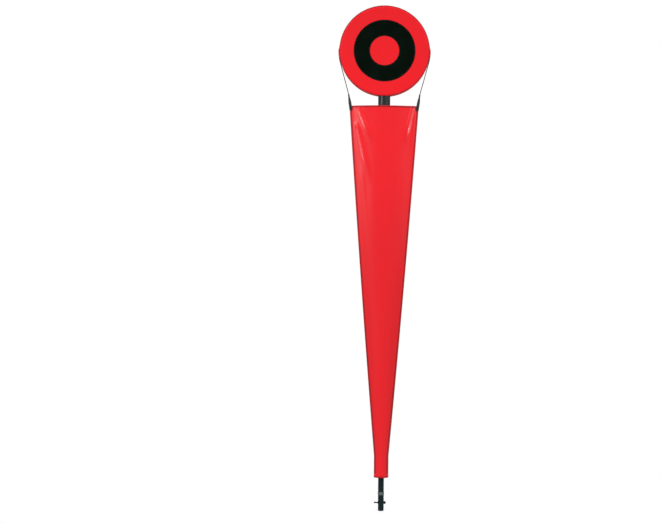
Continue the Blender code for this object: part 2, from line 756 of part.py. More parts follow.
def make_tab(side, way, panels):
    """A webbing tab sewn round the cord's lower end. Its legs straddle the drape's corner."""
    top = cord_line(way)[2] + cord_line(way)[1] * GAP
    slot = -TAB_LENGTH + TAB_SLOT
    neck, foot = TAB_THICKNESS / 2, -TAB_LENGTH
    half = [(neck, 0), (LEG_OUTER, slot), (LEG_OUTER, foot), (LEG_INNER, foot), (LEG_INNER, slot)]
    outline = half + [(-y, z) for y, z in reversed(half)]
    bm = bmesh.new()
    face = bm.faces.new([bm.verts.new((-TAB_WIDTH / 2, y, z)) for y, z in outline])
    grown = bmesh.ops.extrude_face_region(bm, geom=[face])
    moved = [part for part in grown["geom"] if isinstance(part, bmesh.types.BMVert)]
    bmesh.ops.translate(bm, vec=(TAB_WIDTH, 0, 0), verts=moved)
    tab = place(f"corner_tab_{side}", mesh_from(bm, "tab"), "black_webbing", "drape_axis")
    lean = Matrix.Rotation(way * TAB_LEAN, 4, "Y")
    tab.matrix_basis = Matrix.Translation(top) @ lean
    snap_at = tab.matrix_basis @ Vector((0, 0, -SNAP_DROP))
    hole = round_cutter(f"snap_hole_{side}", SNAP_SHANK + GAP, ACROSS, snap_at, "Y", 16)
    cut(tab, hole)
    for panel in panels:
        cut(panel, hole)
    shank, flange, end = SNAP_SHANK, LEG_OUTER + GAP, LEG_OUTER + GAP + SNAP_CAP
    points = [(0, end), (SNAP_RADIUS, end), (SNAP_RADIUS, flange), (shank, flange),
              (shank, -flange), (SNAP_RADIUS, -flange), (SNAP_RADIUS, -end), (0, -end)]
    snap = turned(f"tab_snap_{side}", points, "black_steel", "drape_axis", 16)
    put(snap, snap_at, "Y")


def make_drape():
    panels = [make_panel("drape_front", -1), make_panel("drape_rear", 1)]
    for side, way in SIDES.items():
        make_tab(side, way, panels)


make_tube()
make_spring()
make_padding()
make_target()
for side_word, side_way in SIDES.items():
    make_pocket(side_word, side_way)
    make_cord(side_word, side_way)
make_lower_rod()
make_drape()
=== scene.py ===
"""Looks of the sideline marker pole: padded target, tapered drape, elastic cords and lower rod.

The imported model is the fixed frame, and sizes come from it or from the named values below.
Units are metres, +Z runs up the pole and the target's front faces -Y.
"""

import math

import bmesh
import bpy
import numpy as np
from mathutils import Matrix, Vector


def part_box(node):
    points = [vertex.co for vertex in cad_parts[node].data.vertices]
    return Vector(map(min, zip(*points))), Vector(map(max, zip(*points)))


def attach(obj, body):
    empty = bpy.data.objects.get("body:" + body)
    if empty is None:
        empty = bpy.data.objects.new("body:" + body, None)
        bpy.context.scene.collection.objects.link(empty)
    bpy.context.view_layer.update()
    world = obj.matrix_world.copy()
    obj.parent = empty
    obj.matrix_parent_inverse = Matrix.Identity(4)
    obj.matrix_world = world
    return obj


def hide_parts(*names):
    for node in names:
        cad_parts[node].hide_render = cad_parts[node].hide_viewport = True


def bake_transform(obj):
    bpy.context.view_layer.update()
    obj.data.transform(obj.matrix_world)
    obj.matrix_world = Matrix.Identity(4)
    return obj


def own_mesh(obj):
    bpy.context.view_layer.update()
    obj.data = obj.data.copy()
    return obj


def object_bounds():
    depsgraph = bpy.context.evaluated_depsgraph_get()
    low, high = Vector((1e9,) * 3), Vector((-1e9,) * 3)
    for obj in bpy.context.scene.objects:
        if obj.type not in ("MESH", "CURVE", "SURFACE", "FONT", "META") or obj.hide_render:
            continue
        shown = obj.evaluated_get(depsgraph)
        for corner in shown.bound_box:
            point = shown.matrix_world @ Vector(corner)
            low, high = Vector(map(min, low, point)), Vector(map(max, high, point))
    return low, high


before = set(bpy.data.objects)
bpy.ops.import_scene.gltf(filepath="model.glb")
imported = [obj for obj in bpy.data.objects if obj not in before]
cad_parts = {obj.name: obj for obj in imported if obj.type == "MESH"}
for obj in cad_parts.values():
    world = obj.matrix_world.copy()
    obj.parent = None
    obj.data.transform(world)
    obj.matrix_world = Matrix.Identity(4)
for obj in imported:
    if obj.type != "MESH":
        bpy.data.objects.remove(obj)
CAD_LOW, CAD_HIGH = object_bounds()

# Driving sizes that a box can't give
MM = 0.001
VINYL = 0.0009
RING_INNER = 0.0645
CUFF_TOP = 0.243
CUFF_WIDTH = 0.0624
DRAPE_BOW = 0.0071
DRAPE_RADIUS = 0.0282
POCKET_FOOT = math.radians(6.5)  # below level, where a cord comes out of its pocket
CORD_ANGLE = math.radians(15.2)  # below level, where it leaves the target's rim
CORD_REACH = 0.143  # of its straight run
CORD_RADIUS = 0.00175
TAB_LEAN = math.radians(9)
SIDES = {"left": -1, "right": 1}  # along X
FACES = {"front": -1, "rear": 1}  # along Y


# ---------- node graphs


class Amount:
    """A socket that takes part in sums. Each operator adds the Math node that does it."""

    def __init__(self, finish, socket):
        self.finish, self.socket = finish, socket

    def reckon(self, operation, *others):
        values = dict(enumerate((self, *others)))
        return self.finish.node("Math", {"operation": operation}, values)

    def __add__(self, other):
        return self.reckon("ADD", other)

    def __mul__(self, other):
        return self.reckon("MULTIPLY", other)

    def __sub__(self, other):
        return self.reckon("SUBTRACT", other)

    def __rsub__(self, other):
        return self.finish.node("Math", {"operation": "SUBTRACT"}, {0: other, 1: self})

    __radd__, __rmul__ = __add__, __mul__

    def about(self, middle, spread):
        """The same pattern, brought round a middle value."""
        return middle + (self - 0.5) * spread


class Finish:
    """One procedural material: a Principled shader and the nodes that feed it."""

    def __init__(self, name, **constants):
        self.material = bpy.data.materials.new(name)
        self.material.use_nodes = True
        self.tree = self.material.node_tree
        self.shader = self.tree.nodes["Principled BSDF"]
        for socket, value in constants.items():
            self.shader.inputs[socket.replace("_", " ")].default_value = value

    def node(self, kind, settings=None, sockets=None, out=0):
        """Adds a node, sets it up, feeds its sockets and gives one of its outputs."""
        made = self.tree.nodes.new("ShaderNode" + kind)
        for name, value in (settings or {}).items():
            setattr(made, name, value)
        for key, value in (sockets or {}).items():
            self.feed(made.inputs[key], value)
        return Amount(self, made.outputs[out])

    def feed(self, socket, value):
        if isinstance(value, Amount):
            self.tree.links.new(value.socket, socket)
        else:
            socket.default_value = value

    def set(self, socket, value):
        self.feed(self.shader.inputs[socket], value)

    def place(self, stretch=(1, 1, 1), uv=False):
        """Where a point lies: on the piece in metres, or along and across its cloth."""
        spot = self.node("TexCoord", out=2 if uv else 3)
        return self.node("Mapping", None, {"Vector": spot, "Scale": stretch})

    def noise(self, scale, detail=2.0, stretch=(1, 1, 1), uv=False):
        sockets = {"Vector": self.place(stretch, uv), "Scale": scale, "Detail": detail}
        return self.node("TexNoise", None, sockets)

    def step(self, value, low, high):
        """0 below low, 1 above high, and smooth between them."""
        sockets = {"Value": value, "From Min": low, "From Max": high}
        return self.node("MapRange", {"interpolation_type": "SMOOTHSTEP"}, sockets)

    def blend(self, share, one, other):
        """The colour that goes from one to the other with share."""
        colours = (tint if isinstance(tint, Amount) else (*tint, 1.0) for tint in (one, other))
        sockets = dict(zip((0, 6, 7), (share, *colours)))
        return self.node("Mix", {"data_type": "RGBA"}, sockets, out=2)

    def axis(self, index, uv=False):
        return self.node("SeparateXYZ", None, {0: self.place(uv=uv)}, out=index)

    def ridges(self, index, pitch):
        """Rounded ridges across one direction of the cloth, a pitch in metres apart."""
        return (self.axis(index, uv=True) * (math.pi / pitch)).reckon("SINE").reckon("ABSOLUTE")

    def cell_edges(self, scale, stretch=(1, 1, 1)):
        sockets = {"Vector": self.place(stretch), "Scale": scale}
        return self.node("TexVoronoi", {"feature": "DISTANCE_TO_EDGE"}, sockets)

    def bump(self, height, distance, strength=1.0, under=None):
        sockets = {"Height": height, "Distance": distance, "Strength": strength}
        if under is not None:
            sockets["Normal"] = under
        return self.node("Bump", None, sockets)

    def done(self, tint, roughness, relief):
        """The material, with the three inputs that every finish varies."""
        self.set("Base Color", tint)
        self.set("Roughness", roughness)
        self.set("Normal", relief)
        return self.material


def shaded(base, share):
    return [channel * share for channel in base]


def weave(finish, pitch=0.0014):
    """The height of crossing threads, at a pitch in metres along the cloth."""
    return (finish.ridges(0, pitch) + finish.ridges(1, pitch)) * 0.5


def coated_cloth(name, base, deep, roughness, gloss, coat=0.03):
    """Vinyl on a woven scrim: the weave shows through as a faint emboss, and folds scuff pale."""
    finish = Finish(name, Coat_Roughness=0.27, Specular_IOR_Level=gloss)
    cloud, fine = finish.noise(7.0, 3.0), finish.noise(260.0)
    tint = finish.blend(finish.step(cloud, 0.35, 0.72) * 0.55, base, deep)
    edges = finish.step(finish.cell_edges(13.0, (1, 1, 0.45)), 0.0, 0.018)
    crease = (1 - edges) * finish.step(finish.noise(5.0), 0.52, 0.75)
    pale = [min(1.0, channel * 1.06 + 0.02) for channel in base]
    finish.set("Coat Weight", coat + finish.step(cloud, 0.3, 0.8) * 0.05)
    grain = finish.bump(fine, 0.00005, 0.6)
    return finish.done(
        finish.blend(crease * 0.22, tint, pale),
        cloud.about(roughness, 0.12) + (fine - 0.5) * 0.08,
        finish.bump(weave(finish), 0.00005, 0.7, grain),
    )


def grained_vinyl(name):
    """Black upholstery vinyl with a fine leather grain."""
    finish = Finish(name, Coat_Roughness=0.2, Specular_IOR_Level=0.34)
    cells, cloud = finish.step(finish.cell_edges(620.0), 0.0, 0.35), finish.noise(9.0, 3.0)
    share = finish.step(cloud, 0.4, 0.75)
    tint = finish.blend(share, (0.009, 0.012, 0.012), (0.017, 0.022, 0.022))
    finish.set("Coat Weight", 0.04 + finish.step(cloud, 0.35, 0.8) * 0.08)
    return finish.done(tint, cloud.about(0.3, 0.14), finish.bump(cells, 0.00008, 0.5))


def printed_black():
    """The bullseye's black vinyl, smooth and a little green in its shadows."""
    finish = Finish("bullseye_black_vinyl", Specular_IOR_Level=0.04)
    cloud, fine = finish.noise(12.0, 3.0), finish.noise(300.0)
    share = finish.step(cloud, 0.4, 0.7)
    tint = finish.blend(share, (0.0004, 0.003, 0.001), (0.0012, 0.0048, 0.0022))
    relief = finish.bump(weave(finish), 0.00004, 0.5, finish.bump(fine, 0.00005, 0.5))
    return finish.done(tint, cloud.about(0.46, 0.16), relief)


def woven_tape():
    """Black polyester webbing."""
    finish = Finish("tab_webbing", Sheen_Weight=0.25, Sheen_Roughness=0.5)
    height = finish.ridges(0, 0.0011) * 0.6 + finish.ridges(1, 0.0016) * 0.4
    fuzz = finish.noise(900.0)
    # The tint is darker in the weave's hollows than on its crowns: painted shade between the threads.
    tint = finish.blend(height, (0.004, 0.004, 0.005), (0.019, 0.02, 0.021))
    relief = finish.bump(height + fuzz * 0.3, 0.0003, 0.8)
    return finish.done(tint, fuzz.about(0.78, 0.2), relief)


def braided_cover():
    """Grey braided cover of the elastic cord, with a light fleck in every few strands."""
    finish = Finish("shock_cord_braid", Specular_IOR_Level=0.3)
    fuzz, fleck = finish.noise(1200.0), finish.step(finish.noise(420.0, 1.0), 0.6, 0.68)
    tint = finish.blend(fleck * 0.5, (0.01, 0.011, 0.012), (0.09, 0.1, 0.1))
    return finish.done(tint, fuzz.about(0.72, 0.2), finish.bump(fuzz, 0.0001, 0.6))


def worn_paint(name, wear_below, wear=0.76):
    """Black gloss paint on steel, scraped through to the metal towards the ground."""
    finish = Finish(name, Specular_IOR_Level=0.17)
    chips, scratches = finish.noise(170.0, 4.0), finish.noise(60.0, 3.0, (1, 1, 14))
    low = 1 - finish.step(finish.axis(2), 0.0, wear_below)
    bare = finish.step(chips + low * 0.12 + (scratches - 0.5) * 0.12, wear, wear + 0.04)
    cloud = finish.noise(25.0)
    dark = finish.blend(cloud, (0.0025, 0.01, 0.0105), (0.006, 0.0165, 0.0165))
    metal = finish.blend(chips, (0.2, 0.19, 0.18), (0.42, 0.42, 0.41))
    finish.set("Metallic", bare * 0.9)
    return finish.done(
        finish.blend(bare, dark, metal),
        cloud.about(0.48, 0.16) - bare * 0.06,
        finish.bump(1 - bare, 0.00008, 0.7),
    )


def plated_steel(name, base, stretch=(1, 1, 20), roughness=0.3):
    """Zinc-plated or bare steel with fine turning marks."""
    finish = Finish(name, Metallic=1.0)
    marks, cloud = finish.noise(90.0, 3.0, stretch), finish.noise(30.0, 3.0)
    tint = finish.blend(finish.step(cloud, 0.35, 0.8), base, shaded(base, 0.62))
    return finish.done(tint, marks.about(roughness, 0.22), finish.bump(marks, 0.00004, 0.5))


def moulded_nylon():
    finish = Finish("moulded_nylon", Specular_IOR_Level=0.45)
    pits = finish.noise(700.0)
    scuffs = finish.step(finish.noise(55.0, 4.0, (1, 1, 3)), 0.6, 0.78)
    tint = finish.blend(scuffs * 0.6, (0.01, 0.01, 0.011), (0.055, 0.056, 0.056))
    roughness = pits.about(0.48, 0.1) + scuffs * 0.2
    return finish.done(tint, roughness, finish.bump(pits, 0.00005, 0.5))


def cellular_foam():
    finish = Finish("closed_cell_foam")
    cells = finish.node("TexVoronoi", None, {"Vector": finish.place(), "Scale": 900.0})
    tint = finish.blend(cells, (0.13, 0.13, 0.14), (0.06, 0.06, 0.065))
    return finish.done(tint, cells.about(0.9, 0.1), finish.bump(cells, 0.0002, 0.6))


def pressed_board():
    finish = Finish("hardboard")
    fibres = finish.noise(340.0, 4.0, (1, 1, 0.3))
    tint = finish.blend(fibres, (0.3, 0.17, 0.08), (0.15, 0.08, 0.035))
    return finish.done(tint, fibres.about(0.72, 0.2), finish.bump(fibres, 0.00015, 0.5))


def sewing_thread(name, base):
    """Two-ply thread: the plies show as slanting ridges, with painted shade in the grooves between
    them.
    """
    finish = Finish(name, Sheen_Weight=0.3, Sheen_Roughness=0.4)
    sockets = {"Vector": finish.place(), "Scale": 900.0, "Distortion": 1.0}
    plies = finish.node("TexWave", {"bands_direction": "DIAGONAL"}, sockets)
    tint = finish.blend(plies, shaded(base, 0.6), base)
    return finish.done(tint, plies.about(0.62, 0.15), finish.bump(plies, 0.0001, 0.6))


RED = (0.8, 0.0085, 0.015)
# The darker red is painted shade: the top hem, the cuff's rolled edge, the side bindings and the rim
# piping are the same red vinyl, darkened to stand in for the shadow lines along those edges.
PAINTED_SHADE_RED, HEM_SHADE = (0.44, 0.0065, 0.011), (0.28, 0.005, 0.009)
FINISHES = {
    "drape_vinyl": coated_cloth("drape_vinyl", RED, (0.75, 0.008, 0.014), 0.31, 0.3, 0.17),
    "target_vinyl": coated_cloth("target_vinyl", RED, (0.74, 0.008, 0.014), 0.48, 0.18),
    "painted_shade_piping_vinyl": coated_cloth("painted_shade_piping_vinyl", PAINTED_SHADE_RED, HEM_SHADE, 0.44, 0.22),
    "painted_shade_hem_vinyl": coated_cloth("painted_shade_hem_vinyl", PAINTED_SHADE_RED, HEM_SHADE, 0.42, 0.26),
    "bullseye": printed_black(),
    "pole_vinyl": grained_vinyl("pole_cover_vinyl"),
    "webbing": woven_tape(),
    "cord": braided_cover(),
    "rod_paint": worn_paint("rod_paint", 0.16),
    "bolt_paint": worn_paint("bolt_paint", 0.05),
    "black_metal": worn_paint("black_oxide", 0.01),
    "collar": plated_steel("collar_zinc", (0.2, 0.25, 0.23), (1, 1, 8), 0.42),
    "steel": plated_steel("bright_steel", (0.55, 0.56, 0.55)),
    "spring": plated_steel("spring_steel", (0.42, 0.43, 0.44), (1, 1, 4), 0.34),
    "aluminium": plated_steel("tube_aluminium", (0.75, 0.76, 0.77), (1, 1, 0.05), 0.32),
    "nylon": moulded_nylon(),
    "foam": cellular_foam(),
    "board": pressed_board(),
    "red_thread": sewing_thread("red_thread", (0.56, 0.012, 0.018)),
    "black_thread": sewing_thread("black_thread", (0.02, 0.021, 0.022)),
}

# The CAD nodes that keep their own shape, by finish: a name, or the start of several
KEPT_NODES = {
    "aluminium": ("pole_tube",),
    "nylon": ("tube_cap", "guide_bush", "spring_stop", "rod_head"),
    "foam": ("foam_sleeve_", "target_foam_"),
    "steel": ("bush_rivet_", "stop_pin", "head_pin", "clamp_"),
    "board": ("target_board",),
}
for finish_name, beginnings in KEPT_NODES.items():
    for node_name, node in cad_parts.items():
        if node_name.startswith(beginnings):
            node.data.materials.clear()
            node.data.materials.append(FINISHES[finish_name])


# ---------- mesh tools


def put_in_scene(name, data):
    thing = bpy.data.objects.new(name, data)
    bpy.context.scene.collection.objects.link(thing)
    return thing


def piece(name, mesh, finish, sharp=40):
    """An object in the scene for a mesh, smooth but for its sharp edges."""
    mesh.shade_smooth()
    mesh.set_sharp_from_angle(angle=math.radians(sharp))
    mesh.materials.append(FINISHES[finish])
    return put_in_scene(name, mesh)


def quad_corners(grid):
    """Each quad's four corners, in order, from a grid of what lies at them."""
    return np.stack([grid[:-1, :-1], grid[:-1, 1:], grid[1:, 1:], grid[1:, :-1]], axis=2)


def surface(name, rows, finish, closed=False, caps=False, chart=None):
    """A skin of quads through rows of points. Its outer side is on the right of each row.

    Its UVs are metres along and across it, or what chart gives for a point.
    """
    points = np.asarray([[tuple(point) for point in row] for row in rows], float)
    count, across = points.shape[:2]
    index = np.arange(count * across).reshape(count, across)
    wide, numbers = (
        np.concatenate([grid, grid[:, :1]], axis=1) if closed else grid for grid in (points, index)
    )
    if chart:
        uv = chart(wide)
    else:
        step = np.linalg.norm(np.diff(wide, axis=1), axis=2)
        u = np.concatenate([np.zeros((count, 1)), np.cumsum(step, axis=1)], axis=1)
        climb = np.linalg.norm(np.diff(points, axis=0), axis=2).mean(axis=1)
        v = np.concatenate([[0.0], np.cumsum(climb)])
        uv = np.stack([u - u[:, [u.shape[1] // 2]], np.broadcast_to(v[:, None], u.shape)], axis=2)
    faces = quad_corners(numbers).reshape(-1, 4).tolist()
    uvs = quad_corners(uv).reshape(-1, 2)
    if caps:
        faces += [index[0, ::-1].tolist(), index[-1].tolist()]
        uvs = np.concatenate([uvs, uv[0, :across][::-1], uv[-1, :across]])
    mesh = bpy.data.meshes.new(name)
    mesh.from_pydata(points.reshape(-1, 3).tolist(), [], faces)
    mesh.uv_layers.new(name="metres").uv.foreach_set("vector", np.ravel(uvs))
    bm = bmesh.new()
    bm.from_mesh(mesh)
    bmesh.ops.remove_doubles(bm, verts=bm.verts, dist=0.000002)
    bm.to_mesh(mesh)
    bm.free()
    return piece(name, mesh, finish)


ALONG = {
    "X": Matrix.Rotation(math.radians(90), 4, "Y"),
    "Y": Matrix.Rotation(math.radians(-90), 4, "X"),
    "Z": Matrix.Identity(4),
}


def lathe(name, outline, finish, centre=(0, 0, 0), axis="Z", segments=64, shape=None, chart=None):
    """A turned piece. Its outline of (radius, height) points runs up its outer side.

    shape gives the radius and height of a point from its first ones and its angle.
    """
    move = np.array(Matrix.Translation(centre) @ ALONG[axis])
    angles = np.linspace(0, 2 * np.pi, segments, endpoint=False)
    radius, height = (np.array(column)[:, None] + 0 * angles for column in zip(*outline))
    if shape:
        radius, height = shape(radius, height, angles[None, :] + 0 * radius)
    spots = np.stack([radius * np.cos(angles), radius * np.sin(angles), height], axis=2)
    return surface(name, spots @ move[:3, :3].T + move[:3, 3], finish, closed=True, chart=chart)


def round_section(radius, height, wire, count):
    """A closed round outline of a wire or cord, about its middle."""
    angles = [2 * math.pi * i / count for i in range(count + 1)]
    return [(radius + wire * math.cos(a), height + wire * math.sin(a)) for a in angles]


def round_corners(outline, radius, steps=3):
    """A closed outline with its corners rounded, closed by its first point."""
    corners = [Vector(point) for point in outline]
    smooth = []
    for i, corner in enumerate(corners):
        back, ahead = corners[i - 1] - corner, corners[(i + 1) % len(corners)] - corner
        reach = min(radius, 0.45 * back.length, 0.45 * ahead.length)
        start, end = corner + back.normalized() * reach, corner + ahead.normalized() * reach
        for k in range(steps + 1):
            t = k / steps
            smooth.append(start * (1 - t) ** 2 + corner * 2 * t * (1 - t) + end * t * t)
    return smooth + smooth[:1]


def mesh_of(name, bm):
    mesh = bpy.data.meshes.new(name)
    bm.to_mesh(mesh)
    bm.free()
    return mesh


def tube(name, stations, finish, sides):
    """A round skin through stations: a middle, its direction, a way across, and radius(angle)."""
    angles = [-2 * math.pi * k / sides for k in range(sides)]
    rows = []
    for middle, along, across, radius in stations:
        aside = along.cross(across)
        rows.append([
            middle + (aside * math.cos(a) + across * math.sin(a)) * radius(a) for a in angles
        ])
    return surface(name, rows, finish, closed=True, caps=True)


def stitches(name, runs, finish, length=0.0031, gap=0.0011, radius=0.00034):
    """Separate stitches along runs. A run is its points and the way out of the cloth at each."""
    bm = bmesh.new()
    for points, out in runs:
        along = np.concatenate([[0], np.cumsum(np.linalg.norm(np.diff(points, axis=0), axis=1))])
        count = max(1, round(along[-1] / (length + gap)))
        pitch = along[-1] / count
        for i in range(count):
            spots = pitch * i + gap / 2 + np.linspace(0, pitch - gap, 4)
            line = [np.array([np.interp(spots, along, side[:, k]) for k in range(3)]).T
                    for side in (points, out)]
            add_stitch(bm, list(zip(*line)), radius)
    return piece(name, mesh_of(name, bm), finish, 80)


def add_stitch(bm, line, radius, sides=5):
    """One stitch: it rises out of the cloth, lies on it and goes in again."""
    way = (Vector(line[-1][0]) - Vector(line[0][0])).normalized()
    rings = []
    for (point, out), rise in zip(line, (-0.7, 0.6, 0.6, -0.7)):
        out = Vector(out).normalized()
        aside = way.cross(out)
        ring = []
        for k in range(sides):
            angle = -2 * math.pi * k / sides
            around = aside * math.cos(angle) + out * (math.sin(angle) + rise)
            ring.append(bm.verts.new(Vector(point) + around * radius))
        rings.append(ring)
    for low, high in zip(rings, rings[1:]):
        for k in range(sides):
            bm.faces.new((low[k], low[(k + 1) % sides], high[(k + 1) % sides], high[k]))
    bm.faces.new(rings[0][::-1])
    bm.faces.new(rings[-1])


def show(thing, body, slot, *nodes):
    """Puts a piece on its body and hides the CAD nodes it stands for. slot is not used."""
    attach(thing, body)
    if nodes:
        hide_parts(*nodes)
    return thing


def make_each(sides, *makers):
    for side, way in sides.items():
        for make in makers:
            make(side, way)


def smooth(value, low, high):
    t = np.clip((value - low) / (high - low), 0.0, 1.0)
    return t * t * (3 - 2 * t)


def waves(x, z, across, along, seed, count=14):
    """Gentle swells over a surface, about -1 to 1, at about the given lengths in metres."""
    draw = np.random.default_rng(seed)
    total = 0 * (x + z)
    for _ in range(count):
        kx, kz = draw.uniform(-1, 1) / across, draw.uniform(-1, 1) / along
        total = total + np.sin(2 * np.pi * (kx * x + kz * z + draw.uniform()))
    return total / math.sqrt(count)


# ---------- camera, light and floor

CAMERA_DISTANCE = 6.7
CAMERA_HEIGHT = 1.1
CAMERA_SIDE = -0.003
CAMERA_ROLL = math.radians(-0.48)
LENS = 82.6
OBJECT_SHIFT = -0.079  # the object stands right of the middle of the frame


def set_camera():
    camera = put_in_scene("camera", bpy.data.cameras.new("camera"))
    camera.location = (CAMERA_SIDE, -CAMERA_DISTANCE, CAMERA_HEIGHT)
    roll = Matrix.Rotation(CAMERA_ROLL, 4, "Y")
    camera.rotation_euler = (roll @ Matrix.Rotation(math.radians(90), 4, "X")).to_euler()
    camera.data.lens = LENS
    camera.data.shift_x = OBJECT_SHIFT
    camera.data.clip_end = 60.0
    bpy.context.scene.camera = camera


def add_light(name, kind, place, aim, energy):
    light = put_in_scene(name, bpy.data.lights.new(name, kind))
    light.data.energy = energy
    light.location = place
    light.rotation_euler = (Vector(aim) - Vector(place)).to_track_quat("-Z", "Y").to_euler()
    return light.data


def broad_light(name, azimuth, elevation, spread, energy):
    """Even light over the whole height, from degrees right of the camera and above level."""
    side, up = math.radians(azimuth), math.radians(elevation)
    way = Vector((math.sin(side) * math.cos(up), -math.cos(side) * math.cos(up), math.sin(up)))
    place = Vector((0, 0, 1.1)) + way * 6
    add_light(name, "SUN", place, (0, 0, 1.1), energy).angle = math.radians(spread)


def strip_light(name, place, energy):
    """A small soft box for the target and the bare padding."""
    data = add_light(name, "AREA", place, (0, 0, 1.85), energy)
    data.shape = "RECTANGLE"
    data.size, data.size_y = 0.35, 0.5


def fold_light(name, place, energy):
    """A narrow beam over the drape's upper part only, low enough to pick out its folds."""
    data = add_light(name, "SPOT", place, (0, 0, 1.68), energy)
    data.spot_size = math.radians(11)
    data.spot_blend = 1.0
    data.shadow_soft_size = 0.4


def set_lights():
    broad_light("left_light", -46, 30, 16, 0.82)
    broad_light("right_light", 46, 30, 16, 0.74)
    broad_light("top_light", 0, 52, 30, 0.9)
    broad_light("rear_light", 180, 35, 60, 1.1)
    for side, strip, beam in ("left", 36, 260), ("right", 5, 400):
        strip_light(f"{side}_strip", (SIDES[side] * 3.2, -3.2, 2.4), strip)
        fold_light(f"{side}_fold_light", (SIDES[side] * 4.1, -1.15, 0.95), beam)


def set_world():
    """A white surround that the camera sees, and a dimmer one that lights the object."""
    world = bpy.data.worlds.new("studio")
    bpy.context.scene.world = world
    world.use_nodes = True
    nodes, links = world.node_tree.nodes, world.node_tree.links
    nodes.clear()
    seen, lit = nodes.new("ShaderNodeBackground"), nodes.new("ShaderNodeBackground")
    for background in (seen, lit):
        background.inputs["Color"].default_value = (1, 1, 1, 1)
    lit.inputs["Strength"].default_value = 0.41
    mix = nodes.new("ShaderNodeMixShader")
    links.new(nodes.new("ShaderNodeLightPath").outputs["Is Camera Ray"], mix.inputs[0])
    links.new(lit.outputs[0], mix.inputs[1])
    links.new(seen.outputs[0], mix.inputs[2])
    links.new(mix.outputs[0], nodes.new("ShaderNodeOutputWorld").inputs[0])
    bpy.context.scene.view_settings.view_transform = "Standard"


def make_floor():
    """A pale round floor that fades out into the surround."""
    finish = Finish("pale_floor")
    spot = finish.place()
    away = finish.node("VectorMath", {"operation": "LENGTH"}, {0: spot}, out=1)
    mottle = finish.noise(3.0, 3.0)
    tint = finish.blend(mottle, (0.96, 0.96, 0.96), (0.93, 0.93, 0.935))
    finish.set("Base Color", tint)
    finish.set("Roughness", 0.85 + (mottle - 0.5) * 0.1)
    finish.set("Alpha", 0.22 - finish.step(away, 0.3, 1.6) * 0.22)
    bm = bmesh.new()
    bmesh.ops.create_circle(bm, cap_ends=True, segments=96, radius=2.2)
    mesh = mesh_of("floor", bm)
    mesh.materials.append(finish.material)
    floor = put_in_scene("floor", mesh)
    floor.location.z = CAD_LOW.z - 0.0004


set_camera()
set_lights()
set_world()
make_floor()


# ---------- the target's frame

RIM_LOW, RIM_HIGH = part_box("rim_piping_front")
RIM = (RIM_HIGH.x - RIM_LOW.x) / 2
TARGET = Vector((0, 0, (RIM_HIGH.z + RIM_LOW.z) / 2))
PIPING_PLACE = -(RIM_HIGH.y + RIM_LOW.y) / 2
FACE_LOW, FACE_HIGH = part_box("target_face_front")
FACE_RADIUS = FACE_HIGH.x
FACE_LEVEL = -FACE_LOW.y
RING_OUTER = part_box("bullseye_ring_front")[1].x
BAND_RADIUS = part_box("target_band")[1].x
BAND_BULGE = 0.0005


def rim_point(radius, angle, way, depth=0.0):
    """A point round the target's axis, angle below level, on the given side."""
    return TARGET + Vector((way * math.cos(angle) * radius, depth, -math.sin(angle) * radius))


def band_radius(depth):
    """The band's padding pushes it out between the two rims."""
    return BAND_RADIUS + BAND_BULGE * np.clip(1 - (depth / PIPING_PLACE) ** 2, 0, 1)


# ---------- cords
CORD_LINE = RIM + 0.0025  # from the target's axis to the middle of a cord on its rim
RIM_RUN = CORD_LINE * (CORD_ANGLE - POCKET_FOOT)
CORD_LENGTH = RIM_RUN + CORD_REACH
STRAND_PITCH = 0.0108  # of one turn of a strand round the cord


def cord_spot(distance, way):
    """The cord's middle and direction: round the rim, then straight down the tangent."""
    angle = POCKET_FOOT + min(distance, RIM_RUN) / CORD_LINE
    along = Vector((-way * math.sin(angle), 0, -math.cos(angle)))
    return rim_point(CORD_LINE, angle, way) + along * max(0.0, distance - RIM_RUN), along


def braid(distance):
    """The cord's radius at an angle: strands wind both ways and pass over each other in turn."""
    wound = 2 * math.pi * distance / STRAND_PITCH

    def radius(angle):
        lattice = math.cos(3 * (angle + wound)) * math.cos(3 * (angle - wound))
        return CORD_RADIUS * (0.96 + 0.06 * lattice)

    return radius


def make_cord(side, way, rings=480):
    across = Vector((0, 1, 0))
    spots = [CORD_LENGTH * i / rings for i in range(rings + 1)]
    stations = [(*cord_spot(spot, way), across, braid(spot)) for spot in spots]
    cord = tube(f"elastic_cord_{side}", stations, "cord", 30)
    exit_point, tangent, end = (cord_spot(d, way)[0] for d in (0, RIM_RUN, CORD_LENGTH))
    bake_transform(cord)
    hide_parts(f"cord_{side}")
    [cord_spot(CORD_LENGTH * i / 24, way)[0] for i in range(25)]


make_each(SIDES, make_cord)


# ---------- padded target

WELT_RADIUS = 0.0018
SHOULDER = 0.011  # over which each face's edge rolls down to the piping
PUCKERS = 92  # small gathers round each rim's seam
RING_LIFT = 0.001
RING_EDGE = 0.0006  # its side's height, below a small round edge
SEW_EDGE = 0.003  # from a ring's edge to its stitches
SEAM_IN = 0.0008  # how far a face's edge is tucked under the piping


def puckers(angle):
    return np.cos(PUCKERS * angle + 2 * np.sin(5 * angle))


def face_level(radius, angle, way):
    """How far a face's surface is from the target's middle plane."""
    inward = FACE_RADIUS + SEAM_IN - radius
    t = np.clip(inward / SHOULDER, 0, 1)
    low = PIPING_PLACE + 0.0002
    level = low + (FACE_LEVEL - low) * np.sqrt(1 - (1 - t) ** 2)
    x, z = radius * np.cos(angle), radius * np.sin(angle)
    swell = 0.0003 * waves(x, z, 0.075, 0.075, 11 + way) * t
    crown = 0.0009 * (1 - (radius / FACE_RADIUS) ** 2)
    return level + crown + swell + 0.00022 * puckers(angle) * t * np.exp(-inward / 0.009)


def planar(points):
    return points[..., [0, 2]]


def face_piece(name, profile, way, finish, segments=384):
    """A skin on one face, from its (radius, lift off the face) points, the axis first."""
    outline = profile if way < 0 else profile[::-1]

    def shape(radius, lift, angle):
        return radius, way * (face_level(radius, angle, way) + lift)

    return lathe(name, outline, finish, TARGET, "Y", segments, shape, planar)


